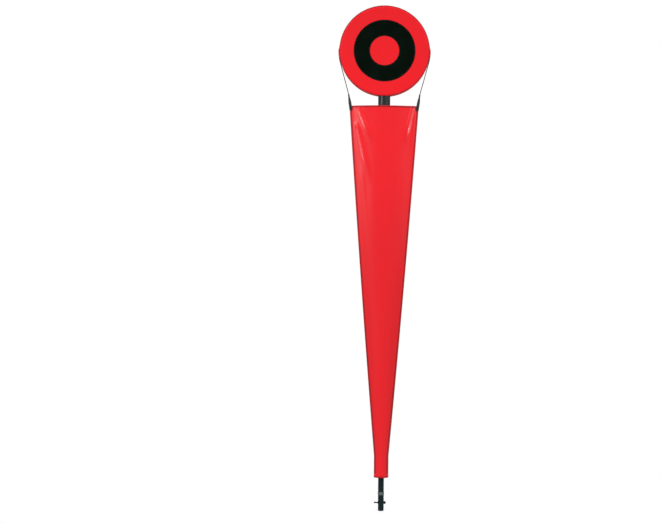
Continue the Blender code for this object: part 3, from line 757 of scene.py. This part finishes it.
def face_run(radius, way, lift, count=300):
    angle = np.linspace(0, 2 * np.pi, count)
    depth = way * (face_level(radius + 0 * angle, angle, way) + lift)
    points = np.stack([radius * np.cos(angle), depth, TARGET.z - radius * np.sin(angle)], axis=1)
    return points, np.broadcast_to([0.0, way, 0.0], points.shape)


def make_face(side, way):
    radii = np.concatenate([
        np.linspace(0, FACE_RADIUS - SHOULDER, 38),
        FACE_RADIUS - SHOULDER * np.cos(np.linspace(0.06, 0.5, 9) * np.pi),
        [FACE_RADIUS + SEAM_IN],
    ])
    face = face_piece(f"face_{side}", [(r, 0.0) for r in radii], way, "target_vinyl")
    show(face, "pole", "red_vinyl", f"target_face_{side}")

    inner_line, outer_line = RING_INNER + SEW_EDGE, RING_OUTER - SEW_EDGE
    flat = np.concatenate([
        RING_INNER + np.array([0.0008, 0.0016]),
        inner_line + 0.0005 * np.arange(-2, 4),
        np.linspace(inner_line + 0.004, outer_line - 0.004, 18),
        outer_line + 0.0005 * np.arange(-3, 3),
        RING_OUTER - np.array([0.0016, 0.0008]),
    ])
    dip = sum(np.exp(-((flat - line) / 0.0008) ** 2) for line in (inner_line, outer_line))
    profile = [(RING_INNER, -0.0003), (RING_INNER, RING_EDGE), (RING_INNER + 0.0003, RING_LIFT)]
    profile += list(zip(flat, RING_LIFT - 0.00035 * dip))
    profile += [(RING_OUTER - 0.0003, RING_LIFT), (RING_OUTER, RING_EDGE), (RING_OUTER, -0.0003)]
    ring = face_piece(f"bullseye_ring_piece_{side}", profile, way, "bullseye")
    show(ring, "pole", "black_vinyl", f"bullseye_ring_{side}")

    runs = [face_run(line, way, RING_LIFT - 0.0003) for line in (inner_line, outer_line)]
    show(stitches(f"ring_stitches_{side}", runs, "black_thread"), "pole", "black_vinyl")


def make_piping(side, way):
    """A welt of vinyl round a cord, sewn into each rim's seam. Its darker red is painted shade along
    the rim.
    """
    outline = round_section(RIM - WELT_RADIUS, way * PIPING_PLACE, WELT_RADIUS, 12)

    def shape(r, h, angle):
        return r + 0.00007 * np.cos(61 * angle) + 0.00005 * np.cos(143 * angle + 1), h

    piping = lathe(f"rim_welt_{side}", outline, "painted_shade_piping_vinyl", TARGET, "Y", 384, shape)
    show(piping, "pole", "red_vinyl", f"rim_piping_{side}")


POLE_WAY = 0.0177  # radius of the hole in the band that the tube passes


def make_band():
    reach = np.linspace(-1, 1, 17)
    depth = PIPING_PLACE * np.sin(reach * np.pi / 2) * 0.97
    outline = [(band_radius(d), d) for d in depth] + [(BAND_RADIUS - VINYL, d) for d in depth[::-1]]

    def shape(radius, depth, angle):
        seam = np.clip(1 - (PIPING_PLACE - np.abs(depth)) / 0.008, 0, 1)
        swell = waves(angle * RIM, depth, 0.06, 0.03, 21) * (1 - seam)
        return radius + 0.00025 * puckers(angle) * seam + 0.00025 * swell, depth

    band = lathe("side_band", outline + outline[:1], "target_vinyl", TARGET, "Y", 384, shape)
    way_in = lathe(
        "pole_way", [(0, 0), (POLE_WAY, 0), (POLE_WAY, 0.1), (0, 0.1)], "target_vinyl",
        (0, 0, TARGET.z - RIM - 0.05), segments=48,
    )
    cutting = band.modifiers.new("pole_way", "BOOLEAN")
    cutting.object = way_in
    cutting.operation = "DIFFERENCE"
    graph = bpy.context.evaluated_depsgraph_get()
    band.data = bpy.data.meshes.new_from_object(band.evaluated_get(graph))
    band.modifiers.clear()
    bpy.data.objects.remove(way_in)
    show(band, "pole", "red_vinyl", "target_band")


POCKET_ARC = math.radians(13)
POCKET_HALF = 0.009
POCKET_HEIGHT = 0.0046
POCKET_FLANGE = 0.003
POCKET_SKIN = 0.001


def band_point(depth, lift, angle, way):
    return rim_point(band_radius(depth) + lift, angle, way, depth)


def pocket_row(angle, way, height):
    """Across the band at an angle: a flat margin, the cord's channel, and the other margin."""
    spread = np.linspace(-1, 1, 25)
    channel = np.clip(np.abs(spread) * POCKET_HALF / (POCKET_HALF - POCKET_FLANGE), 0, 1)
    lifts = POCKET_SKIN + (height - POCKET_SKIN) * np.cos(channel * np.pi / 2) ** 1.3
    row = [band_point(s * POCKET_HALF, lift, angle, way) for s, lift in zip(spread, lifts)]
    under = (1.0, 0.5, 0.0, -0.5, -1.0)
    return row + [band_point(s * POCKET_HALF, -0.0004, angle, way) for s in under]


def make_pocket(side, way):
    """The cord's upper end is sewn under this vinyl pocket on the band."""
    rows = []
    for t in np.arange(29) / 28:
        height = POCKET_SKIN + (POCKET_HEIGHT - 0.0012) * (1 - smooth(t, 0.55, 0.93))
        rows.append(pocket_row(POCKET_FOOT - POCKET_ARC * t, way, height))
    rows = rows if way > 0 else [row[::-1] for row in rows]
    pocket = surface(f"pocket_{side}", rows, "target_vinyl", closed=True, caps=True)
    show(pocket, "pole", "red_vinyl", f"cord_pocket_{side}")

    angles = POCKET_FOOT - POCKET_ARC * np.linspace(0.03, 0.97, 24)
    inset = POCKET_HALF - 0.0014
    line = [(a, -inset) for a in angles]
    line += [(angles[-1], d) for d in np.linspace(-inset, inset, 12)]
    line += [(a, inset) for a in angles[::-1]]
    points = np.array([band_point(d, POCKET_SKIN, a, way) for a, d in line])
    run = (points, (points - np.array(TARGET)) * [1, 0, 1])
    show(stitches(f"pocket_stitches_{side}", [run], "red_thread"), "pole", "red_vinyl")


make_each(FACES, make_face, make_piping)
make_band()
make_each(SIDES, make_pocket)


# ---------- the rod's spring


SPRING_TURNS = 13
SPRING_WIRE = 0.0014


def spring_climb(t, closed=0.07):
    """Share of the spring's length reached at a share of its turns: slow at both ends."""
    near = min(t, 1 - t)
    climb = near ** 2 / (2 * closed) if near < closed else near - closed / 2
    share = climb / (1 - closed)
    return share if t < 0.5 else 1 - share


def make_spring(steps=44):
    """A compression spring with closed ends."""
    low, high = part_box("plunger_spring")
    height = high.z - low.z
    stations = []
    for i in range(SPRING_TURNS * steps + 1):
        t = i / (SPRING_TURNS * steps)
        angle = 2 * math.pi * SPRING_TURNS * t
        outward = Vector((math.cos(angle), math.sin(angle), 0))
        along = Vector((-math.sin(angle), math.cos(angle), 0.15)).normalized()
        level = low.z + SPRING_WIRE + (height - 2 * SPRING_WIRE) * spring_climb(t)
        middle = outward * (high.x - SPRING_WIRE) + Vector((0, 0, level))
        stations.append((middle, along, outward, lambda angle: SPRING_WIRE))
    spring = tube("plunger_coil", stations, "spring", 12)
    show(spring, "pole", "spring_steel", "plunger_spring")
    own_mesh(spring)


make_spring()


# ---------- padded pole cover

COVER_LOW, COVER_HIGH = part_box("pole_cover")
COVER_RADIUS = COVER_HIGH.x
FOAM_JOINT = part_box("foam_sleeve_lower")[1].z


def make_cover():
    """Vinyl drawn round the foam, with a lapped seam down the back."""
    foot, top = COVER_LOW.z, COVER_HIGH.z
    inner = COVER_RADIUS - 0.0011
    outer_rows = np.concatenate([
        foot + np.array([0.0006, 0.0016, 0.003, 0.006]),
        np.linspace(foot + 0.012, top - 0.03, 130),
        top - np.array([0.022, 0.016, 0.011, 0.007, 0.004, 0.002, 0.0009, 0.0004]),
    ])
    outline = [(inner, foot + 0.012), (inner, foot + 0.001), (inner + 0.0005, foot)]
    outline += [(COVER_RADIUS - 0.0002 * (i < 1), height) for i, height in enumerate(outer_rows)]
    outline += [(COVER_RADIUS - 0.0006, top - 0.0001), (inner, top - 0.0004), (inner, top - 0.012)]

    def shape(radius, height, angle):
        x, y = radius * np.cos(angle), radius * np.sin(angle)
        outside = (radius > inner + 0.0002) * smooth(height, foot, foot + 0.006)
        lap = 0.0008 * np.exp(-((angle - math.pi / 2) / 0.13) ** 4)
        swell = 0.00022 * waves(3 * angle, height, 3.0, 0.11, 31)
        swell = swell * (1 - smooth(height, top - 0.02, top))
        joint = -0.0006 * np.exp(-((height - FOAM_JOINT) / 0.003) ** 2)
        rim = TARGET.z - np.sqrt(band_radius(y) ** 2 - x ** 2) - 0.0002
        near = smooth(height, top - 0.012, top)
        return radius + outside * (lap + swell + joint), height + near * (rim - top)

    cover = lathe("padded_cover", outline, "pole_vinyl", segments=96, shape=shape)
    show(cover, "pole", "black_vinyl", "pole_cover")

    height = np.linspace(foot + 0.008, top - 0.006, 200)
    runs = []
    for angle in (math.pi / 2 - 0.09, math.pi / 2 + 0.09):
        way = np.array([math.cos(angle), math.sin(angle), 0.0])
        points = way * (COVER_RADIUS + 0.0005)
        points = points + np.array([0, 0, 1.0]) * height[:, None]
        runs.append((points, np.broadcast_to(way, points.shape)))
    show(stitches("cover_stitches", runs, "black_thread"), "pole", "black_vinyl")


make_cover()


# ---------- drape

DRAPE_FOOT, DRAPE_TOP = (corner.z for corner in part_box("drape_front"))
DRAPE_WIDTH = 0.3048
SEAM_HALF_GAP = 0.0004

# Folds where the corners pull, in millimetres: x and z of each end, width and height
FOLDS = {
    -1: [
        (-122, 1797, -48, 1622, 9.0, 6.6),
        (-123, 1716, -58, 1450, 9.6, 6.2),
        (133, 1815, 88, 1620, 9.2, 8.2),
        (138, 1765, 124, 1590, 5.6, 3.8),
        (-100, 1540, -54, 1000, 13.0, 1.4),
        (98, 1500, 58, 960, 14.0, 1.2),
        (-24, 197, 10, 186, 2.4, 1.0),
        (26, 208, -6, 199, 2.6, 0.9),
        (-20, 181, 22, 177, 2.2, 0.7),
    ],
    1: [
        (-134, 1778, -98, 1640, 6.2, 3.6),
        (-130, 1730, -110, 1500, 6.6, 2.4),
        (128, 1776, 74, 1610, 6.0, 3.2),
        (118, 1690, 70, 1440, 8.0, 2.8),
        (-98, 1540, -50, 960, 14.0, 1.5),
        (96, 1500, 56, 1000, 13.0, 1.2),
        (22, 199, -10, 189, 2.5, 1.0),
        (-26, 209, 4, 202, 2.6, 0.8),
    ],
}


def half_width(height):
    """Half the drape's width: straight in the cuff, then a slightly bowed taper."""
    s = np.clip((height - CUFF_TOP) / (DRAPE_TOP - CUFF_TOP), 0, None)
    return (CUFF_WIDTH + (DRAPE_WIDTH - CUFF_WIDTH) * s + 4 * DRAPE_BOW * s * (1 - s)) / 2


def fold_rise(x, z, way):
    """How far the folds and swells lift the cloth at a point of a panel."""
    rise = 0.0 * (x + z)
    for x1, z1, x2, z2, width, height in np.array(FOLDS[way]) * MM:
        reach = math.hypot(x2 - x1, z2 - z1)
        t = ((x - x1) * (x2 - x1) + (z - z1) * (z2 - z1)) / reach ** 2
        off = ((x - x1) * (z2 - z1) - (z - z1) * (x2 - x1)) / reach
        fade = smooth(t, -0.04, 0.14) * (1 - smooth(t, 0.5, 1.05))
        spread = width * (0.7 + 0.6 * np.clip(t, 0, 1))
        rise = rise + height * fade * np.exp(-((off / spread) ** 2))
    taper = smooth(z, CUFF_TOP, CUFF_TOP + 0.5)
    rise = rise + (0.00035 + 0.00045 * taper) * waves(x, z, 0.06, 0.7, 41 + way)
    streaks = waves(x / half_width(z), z, 0.34, 2.2, 51 + way)
    return rise + 0.00045 * (1 - smooth(z, 0.75, 1.35)) * streaks


def panel_points(z, s, way, lift=0.0, folded=True):
    """Points of a panel at heights z, and at s from its left seam, -1, to its right one, 1."""
    z, s = np.broadcast_arrays(np.asarray(z, float), np.asarray(s, float))

    def at(z, s):
        half = half_width(z)
        theta = s * np.pi / 2
        power = 1 + 1.4 * smooth(half, 0.034, 0.085)
        depth = (DRAPE_RADIUS + VINYL) * np.clip(np.cos(theta), 0, None) ** power
        x = half * np.sin(theta)
        if folded:
            depth = depth + fold_rise(x, z, way) * (1 - np.sin(theta) ** 8)
        return np.stack([x, way * (SEAM_HALF_GAP + depth), z], axis=-1)

    if np.all(np.equal(lift, 0)):
        return at(z, s)
    return at(z, s) + np.asarray(lift)[..., None] * panel_normals(at, z, s, way)


def panel_normals(at, z, s, way, step=0.0005):
    across = at(z, np.clip(s + step, -1, 1)) - at(z, np.clip(s - step, -1, 1))
    up = at(z + step, s) - at(z - step, s)
    out = np.cross(across, up) * -way
    return out / np.linalg.norm(out, axis=-1, keepdims=True)


def panel_run(z, s, way, lift):
    """A line of stitches over a panel: its points and the way out of the cloth."""
    low, high = panel_points(z, s, way, lift), panel_points(z, s, way, lift + 0.001)
    return low, high - low


def across_panel(rows, way):
    """Rows of a panel with their points in the order that puts the outer side outwards."""
    return rows if way < 0 else rows[:, ::-1]


def make_panel(side, way):
    z = np.concatenate([
        np.linspace(DRAPE_FOOT, CUFF_TOP + 0.03, 44),
        np.linspace(CUFF_TOP + 0.04, 1.42, 110),
        np.linspace(1.425, DRAPE_TOP, 122),
    ])
    s = np.linspace(-1, 1, 85)
    rows = panel_points(z[:, None], s[None, :], way)
    panel = surface(f"drape_panel_{side}", across_panel(rows, way), "drape_vinyl")
    cloth = panel.modifiers.new("thickness", "SOLIDIFY")
    cloth.thickness = VINYL
    cloth.offset = -1.0
    show(panel, "drape", "red_vinyl", f"drape_{side}")
    plain = panel_points(z[:, None], s[None, :], way, folded=False)
    make_hems(side, way)


# Each hem folds over the panel's edge, in millimetres: inside the edge, and off the outer side
TOP_HEM = [(7.2, -0.2), (6.8, 1.0), (4.0, 1.3), (1.0, 1.1), (-0.3, 0.6), (-0.6, -0.45),
           (-0.3, -1.5), (1.0, -1.9), (6.8, -1.8), (7.2, -0.7)]
CUFF_HEM = [(18.0, -0.7), (17.5, -1.8), (3.0, -1.8), (0.6, -1.4), (-0.4, -0.45), (0.6, 0.7),
            (3.0, 1.1), (10.0, 1.1), (17.6, 0.9), (18.2, -0.2)]
CUFF_EDGE = [(5.6, -1.8), (5.2, -2.2), (0.8, -2.0), (-0.6, -1.4), (-1.0, -0.4), (-0.6, 0.8),
             (0.8, 1.4), (5.2, 1.6), (5.6, 1.1)]


def make_hems(side, way):
    pieces = []
    s = np.linspace(-0.985, 0.985, 90)
    # The top hem and the cuff's rolled edge take the darker red, which is painted shade along those
    # edges.
    for name, profile, edge, inward, finish in (
        ("top_hem", TOP_HEM, DRAPE_TOP, -1, "painted_shade_hem_vinyl"),
        ("cuff_hem", CUFF_HEM, DRAPE_FOOT, 1, "drape_vinyl"),
        ("cuff_edge", CUFF_EDGE, DRAPE_FOOT, 1, "painted_shade_hem_vinyl"),
    ):
        rows = np.array([
            panel_points(edge + inward * back, s, way, lift)
            for back, lift in np.array(profile) * MM
        ])
        hem = surface(f"{name}_{side}", across_panel(rows, way), finish)
        pieces.append(show(hem, "drape", "red_vinyl"))
    runs = [
        panel_run(DRAPE_TOP - 0.005, s, way, 0.0013),
        panel_run(DRAPE_FOOT + 0.0158, s, way, 0.001),
    ]
    pieces.append(show(stitches(f"hem_stitches_{side}", runs, "red_thread"), "drape", "red_vinyl"))
    return pieces


def beside_seam(z, inward, way):
    """How far round its panel a point is that lies a distance in from a side seam."""
    return np.arcsin(1 - inward / half_width(z)) * 2 / np.pi * way


def make_side_binding(side, way):
    """A folded strip binds the two panels together down each side. Its darker red is painted shade
    along the side edges.
    """
    inward = np.array([0.0078, 0.0072, 0.005, 0.0026, 0.0012])
    lifts = np.array([-0.0002, 0.0008, 0.001, 0.001, 0.001])
    z = np.linspace(DRAPE_FOOT - 0.0006, DRAPE_TOP + 0.0008, 330)
    rows = []
    for height in z:
        half, s = float(half_width(height)), beside_seam(height, inward, way)
        front = panel_points(height, s, -1, lifts)
        rear = panel_points(height, s, 1, lifts)[::-1]
        tip = [(way * (half + x), y, height)
               for x, y in ((0.0005, -0.001), (0.0009, 0.0), (0.0005, 0.001))]
        row = [*front, *tip, *rear]
        rows.append(row if way > 0 else row[::-1])
    binding = surface(f"side_binding_{side}", rows, "painted_shade_hem_vinyl", closed=True, caps=True)
    show(binding, "drape", "red_vinyl")
    runs = [panel_run(z, beside_seam(z, 0.0052, way), face, 0.001) for face in (-1, 1)]
    show(stitches(f"side_stitches_{side}", runs, "red_thread"), "drape", "red_vinyl")


make_each(FACES, make_panel)
make_each(SIDES, make_side_binding)


# ---------- webbing tabs and snaps

TAB_LENGTH = 0.072
TAB_WIDTH = 0.0127
TAB_NECK = 0.0062  # its width where it is gathered over the cord
TAB_LEG = 0.00475  # from the drape's middle plane to the middle of a leg
TAB_CUP = 0.0005  # how far each leg is crowned across its width
WEBBING = 0.0013
SEWN_BOX = [(-0.75, 0.046), (0.75, 0.046), (0.75, 0.069), (-0.75, 0.069), (-0.75, 0.046)]
TAB_SEWING = [  # share of the half width, and drop below the top, at each turn of the thread
    [(-0.7, 0.014), (0.7, 0.014), (0.7, 0.026), (-0.7, 0.026), (-0.7, 0.014)],
    SEWN_BOX, SEWN_BOX[0:3:2], SEWN_BOX[1:4:2],
]


def tab_frame(way):
    top = cord_spot(CORD_LENGTH, way)[0]
    return Matrix.Translation(top) @ Matrix.Rotation(way * TAB_LEAN, 4, "Y")


def tab_section(drop):
    """A leg's distance from the middle plane, and its half width, at a drop below the top."""
    together = WEBBING / 2 + 0.0003
    depth = together + (TAB_LEG - together) * smooth(drop, 0.018, 0.046)
    eye = 0.0017 * np.exp(-((drop - 0.0035) / 0.0035) ** 2)
    half = (TAB_NECK + (TAB_WIDTH - TAB_NECK) * smooth(drop, 0.004, 0.04)) / 2
    return float(depth + eye), float(half)


def make_tab(side, way):
    """Webbing folded over the cord's end, sewn together, then down both sides of the corner."""
    frame_at = tab_frame(way)
    drops = np.concatenate([[0.0008], np.linspace(0.002, TAB_LENGTH, 46)])
    leg = [(*tab_section(drop), -drop) for drop in drops]
    path = [(-depth, half, height) for depth, half, height in leg[::-1]]
    path += [(0.0, TAB_NECK / 2, 0.0)] + leg
    columns = np.linspace(-1, 1, 13)
    rows = []
    for depth, half, height in path:
        cup = np.sign(depth) * TAB_CUP * (1 - columns ** 2) * (abs(depth) > 0.002)
        rows.append([frame_at @ Vector((c * half, depth + b, height)) for c, b in zip(columns, cup)])
    tab = surface(f"webbing_tab_{side}", rows, "webbing")
    web = tab.modifiers.new("thickness", "SOLIDIFY")
    web.thickness = WEBBING
    web.offset = 0.0
    edge = tab.modifiers.new("edge", "BEVEL")
    edge.width = 0.0004
    edge.segments = 2
    show(tab, "drape", "black_webbing", f"corner_tab_{side}")

    runs = []
    for face in (-1, 1):
        for pattern in TAB_SEWING:
            points = []
            for start, end in zip(np.array(pattern), np.array(pattern)[1:]):
                for t in np.linspace(0, 1, 9):
                    across, drop = start + (end - start) * t
                    depth, half = tab_section(drop)
                    lift = TAB_CUP * (1 - across ** 2) + WEBBING / 2 + 0.0005
                    points.append(frame_at @ Vector((across * half, face * (depth + lift), -drop)))
            out = np.broadcast_to([0.0, face, 0.0], (len(points), 3))
            runs.append((np.array([tuple(p) for p in points]), out))
    thread = stitches(f"tab_stitches_{side}", runs, "black_thread", 0.0024, 0.0008, 0.0003)
    show(thread, "drape", "black_webbing")


def make_snap(side, way):
    """A snap's domed cap in front and its ring behind, set through tab and drape."""
    low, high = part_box(f"tab_snap_{side}")
    centre = (low + high) / 2
    radius, reach = (high.x - low.x) / 2, (high.y - low.y) / 2
    base, shank = TAB_LEG + WEBBING / 2, 0.0014
    cap = [(0, -reach - 0.0004), (radius * 0.35, -reach - 0.0002), (radius * 0.7, -reach + 0.0003),
           (radius * 0.93, -reach + 0.0009), (radius, -base - 0.0004), (radius * 0.97, -base),
           (shank, -base)]
    ring = [(shank, base), (radius * 0.97, base), (radius, base + 0.0004),
            (radius * 0.97, reach - 0.0002), (radius * 0.85, reach), (radius * 0.72, reach - 0.0003),
            (radius * 0.55, base + 0.0006), (radius * 0.4, base + 0.0004),
            (radius * 0.3, reach - 0.0004), (0, reach - 0.0002)]
    snap = lathe(f"snap_{side}", cap + ring, "black_metal", centre, "Y", 40)
    show(snap, "drape", "black_steel", f"tab_snap_{side}")


make_each(SIDES, make_tab, make_snap)


# ---------- lower rod, collar and eye bolt

ROD_LOW, ROD_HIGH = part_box("lower_rod")
ROD_RADIUS = ROD_HIGH.x
ROD_BORE = 0.0102
BOLT_LOW, BOLT_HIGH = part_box("eye_bolt")
BOLT_HEIGHT = (BOLT_LOW.z + BOLT_HIGH.z) / 2
BOLT_RADIUS = (BOLT_HIGH.z - BOLT_LOW.z) / 2
BOLT_MIDDLE = (0, 0, BOLT_HEIGHT)
EYE_WIRE = 0.0022
EYE_RADIUS = BOLT_HIGH.y - EYE_WIRE


def make_rod():
    low, high, edge = ROD_LOW.z, ROD_HIGH.z, 0.0006
    outer = np.linspace(low + edge, high - edge, 60)
    outline = [(ROD_RADIUS - edge, low)] + [(ROD_RADIUS, h) for h in outer]
    outline += [(ROD_RADIUS - edge, high), (ROD_BORE + 0.0004, high), (ROD_BORE, high - 0.0004)]
    outline += [(ROD_BORE, low + 0.0004), (ROD_BORE + 0.0004, low), (ROD_RADIUS - edge, low)]

    def shape(radius, height, angle):
        outside = radius > ROD_RADIUS - 0.0001
        return radius + outside * 0.00005 * waves(angle, height, 2.0, 0.02, 61), height

    show(lathe("sprung_rod", outline, "rod_paint", segments=72, shape=shape),
         "lower_rod", "black_steel", "lower_rod")


def make_foot():
    low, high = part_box("foot_plug")
    stem = ROD_BORE - 0.0003
    flange = ROD_LOW.z - 0.0003
    grooves = [(0, 0.3), (4.0, 0.3), (4.4, 0), (7.0, 0), (7.4, 0.3), (9.4, 0.3), (9.8, 0)]
    outline = [(r * MM, h * MM) for r, h in grooves]
    outline += [(ROD_RADIUS - 0.0014, 0), (ROD_RADIUS - 0.0004, 0.0005), (ROD_RADIUS, 0.0014),
                (ROD_RADIUS, flange - 0.0004), (ROD_RADIUS - 0.0004, flange), (stem, flange),
                (stem, high.z - 0.002), (stem - 0.001, high.z), (0, high.z)]
    outline = [(r, low.z + h if h < 0.001 else h) for r, h in outline]
    show(lathe("foot", outline, "nylon", segments=64), "lower_rod", "black_nylon", "foot_plug")


def make_collar():
    low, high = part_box("stop_collar")
    outer, bore = high.x, ROD_RADIUS + 0.0003
    corners = [(bore, low.z), (outer, low.z), (outer, high.z), (bore, high.z)]
    show(lathe("collar", round_corners(corners, 0.0003), "collar", segments=72),
         "lower_rod", "bright_steel", "stop_collar")
    low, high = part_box("collar_screw")
    centre = ((low.x + high.x) / 2, 0, (low.z + high.z) / 2)
    radius = (high.x - low.x) / 2
    outline = [(0, low.y), (radius, low.y), (radius, high.y - 0.0003), (radius - 0.0003, high.y),
               (radius * 0.62, high.y), (radius * 0.58, high.y - 0.0012), (0, high.y - 0.0013)]
    show(lathe("grub_screw", outline, "black_metal", centre, "Y", 36, hexed(radius * 0.75)),
         "lower_rod", "black_steel", "collar_screw")


def hexed(limit):
    """Inside a limit radius, round outlines become six-sided."""
    def shape(radius, height, angle):
        flat = np.cos(math.pi / 6) / np.cos((angle % (math.pi / 3)) - math.pi / 6)
        return np.where(radius < limit, radius * flat, radius), height

    return shape


def make_eye_bolt():
    eye_x = BOLT_LOW.x + BOLT_HIGH.y
    ring = round_section(EYE_RADIUS, 0, EYE_WIRE, 15)
    centre = (eye_x, 0, BOLT_HEIGHT)
    eye = lathe("bolt_eye", ring, "bolt_paint", centre, segments=72)
    neck = eye_x + EYE_RADIUS
    thread_from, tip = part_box("eye_nut")[0].x - 0.004, BOLT_HIGH.x
    outline = [(0, neck - 0.0006), (EYE_WIRE, neck - 0.0006), (0.0027, neck + 0.0012),
               (BOLT_RADIUS, neck + 0.0024)]
    outline += [(BOLT_RADIUS, x) for x in np.arange(thread_from, tip - 0.0006, 0.000125)]
    outline += [(BOLT_RADIUS - 0.0007, tip), (0, tip)]

    def shape(radius, x, angle):
        cut_in = smooth(x, thread_from, thread_from + 0.001) * (radius > BOLT_RADIUS - 0.0001)
        turn = (x / 0.001 - angle / (2 * math.pi)) % 1.0
        return radius - cut_in * 0.0006 * np.abs(2 * turn - 1), x

    shank = lathe("bolt_shank", outline, "bolt_paint", BOLT_MIDDLE, "X", 36, shape)
    show(eye, "lower_rod", "black_steel", "eye_bolt")
    show(shank, "lower_rod", "black_steel")


def make_nut_and_washers():
    low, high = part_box("eye_nut")
    flats = (high.y - low.y) / 2
    corner = (high.z - low.z) / 2
    bore = BOLT_RADIUS + 0.0001
    lift = 0.0007
    outline = [(bore, low.x + 0.0004), (bore + 0.0006, low.x), (flats, low.x), (corner, low.x + lift)]
    outline += [(corner, x) for x in np.linspace(low.x + 0.0012, high.x - 0.0012, 6)]
    outline += [(corner, high.x - lift), (flats, high.x), (bore + 0.0006, high.x),
                (bore, high.x - 0.0004), (bore, low.x + 0.0004)]

    def shape(radius, x, angle):
        flat = flats / np.cos(((angle + math.pi / 3) % (math.pi / 3)) - math.pi / 6)
        return np.minimum(radius, flat), x

    nut = lathe("hex_nut", outline, "bolt_paint", BOLT_MIDDLE, "X", 72, shape)
    show(nut, "lower_rod", "black_steel", "eye_nut")
    for side in SIDES:
        low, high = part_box(f"eye_washer_{side}")
        corners = [(bore, low.x), (high.y, low.x), (high.y, high.x), (bore, high.x)]
        outline = round_corners(corners, 0.0003)
        washer = lathe(f"washer_{side}", outline, "bolt_paint", BOLT_MIDDLE, "X", 48)
        show(washer, "lower_rod", "black_steel", f"eye_washer_{side}")


make_rod()
make_foot()
make_collar()
make_eye_bolt()
make_nut_and_washers()
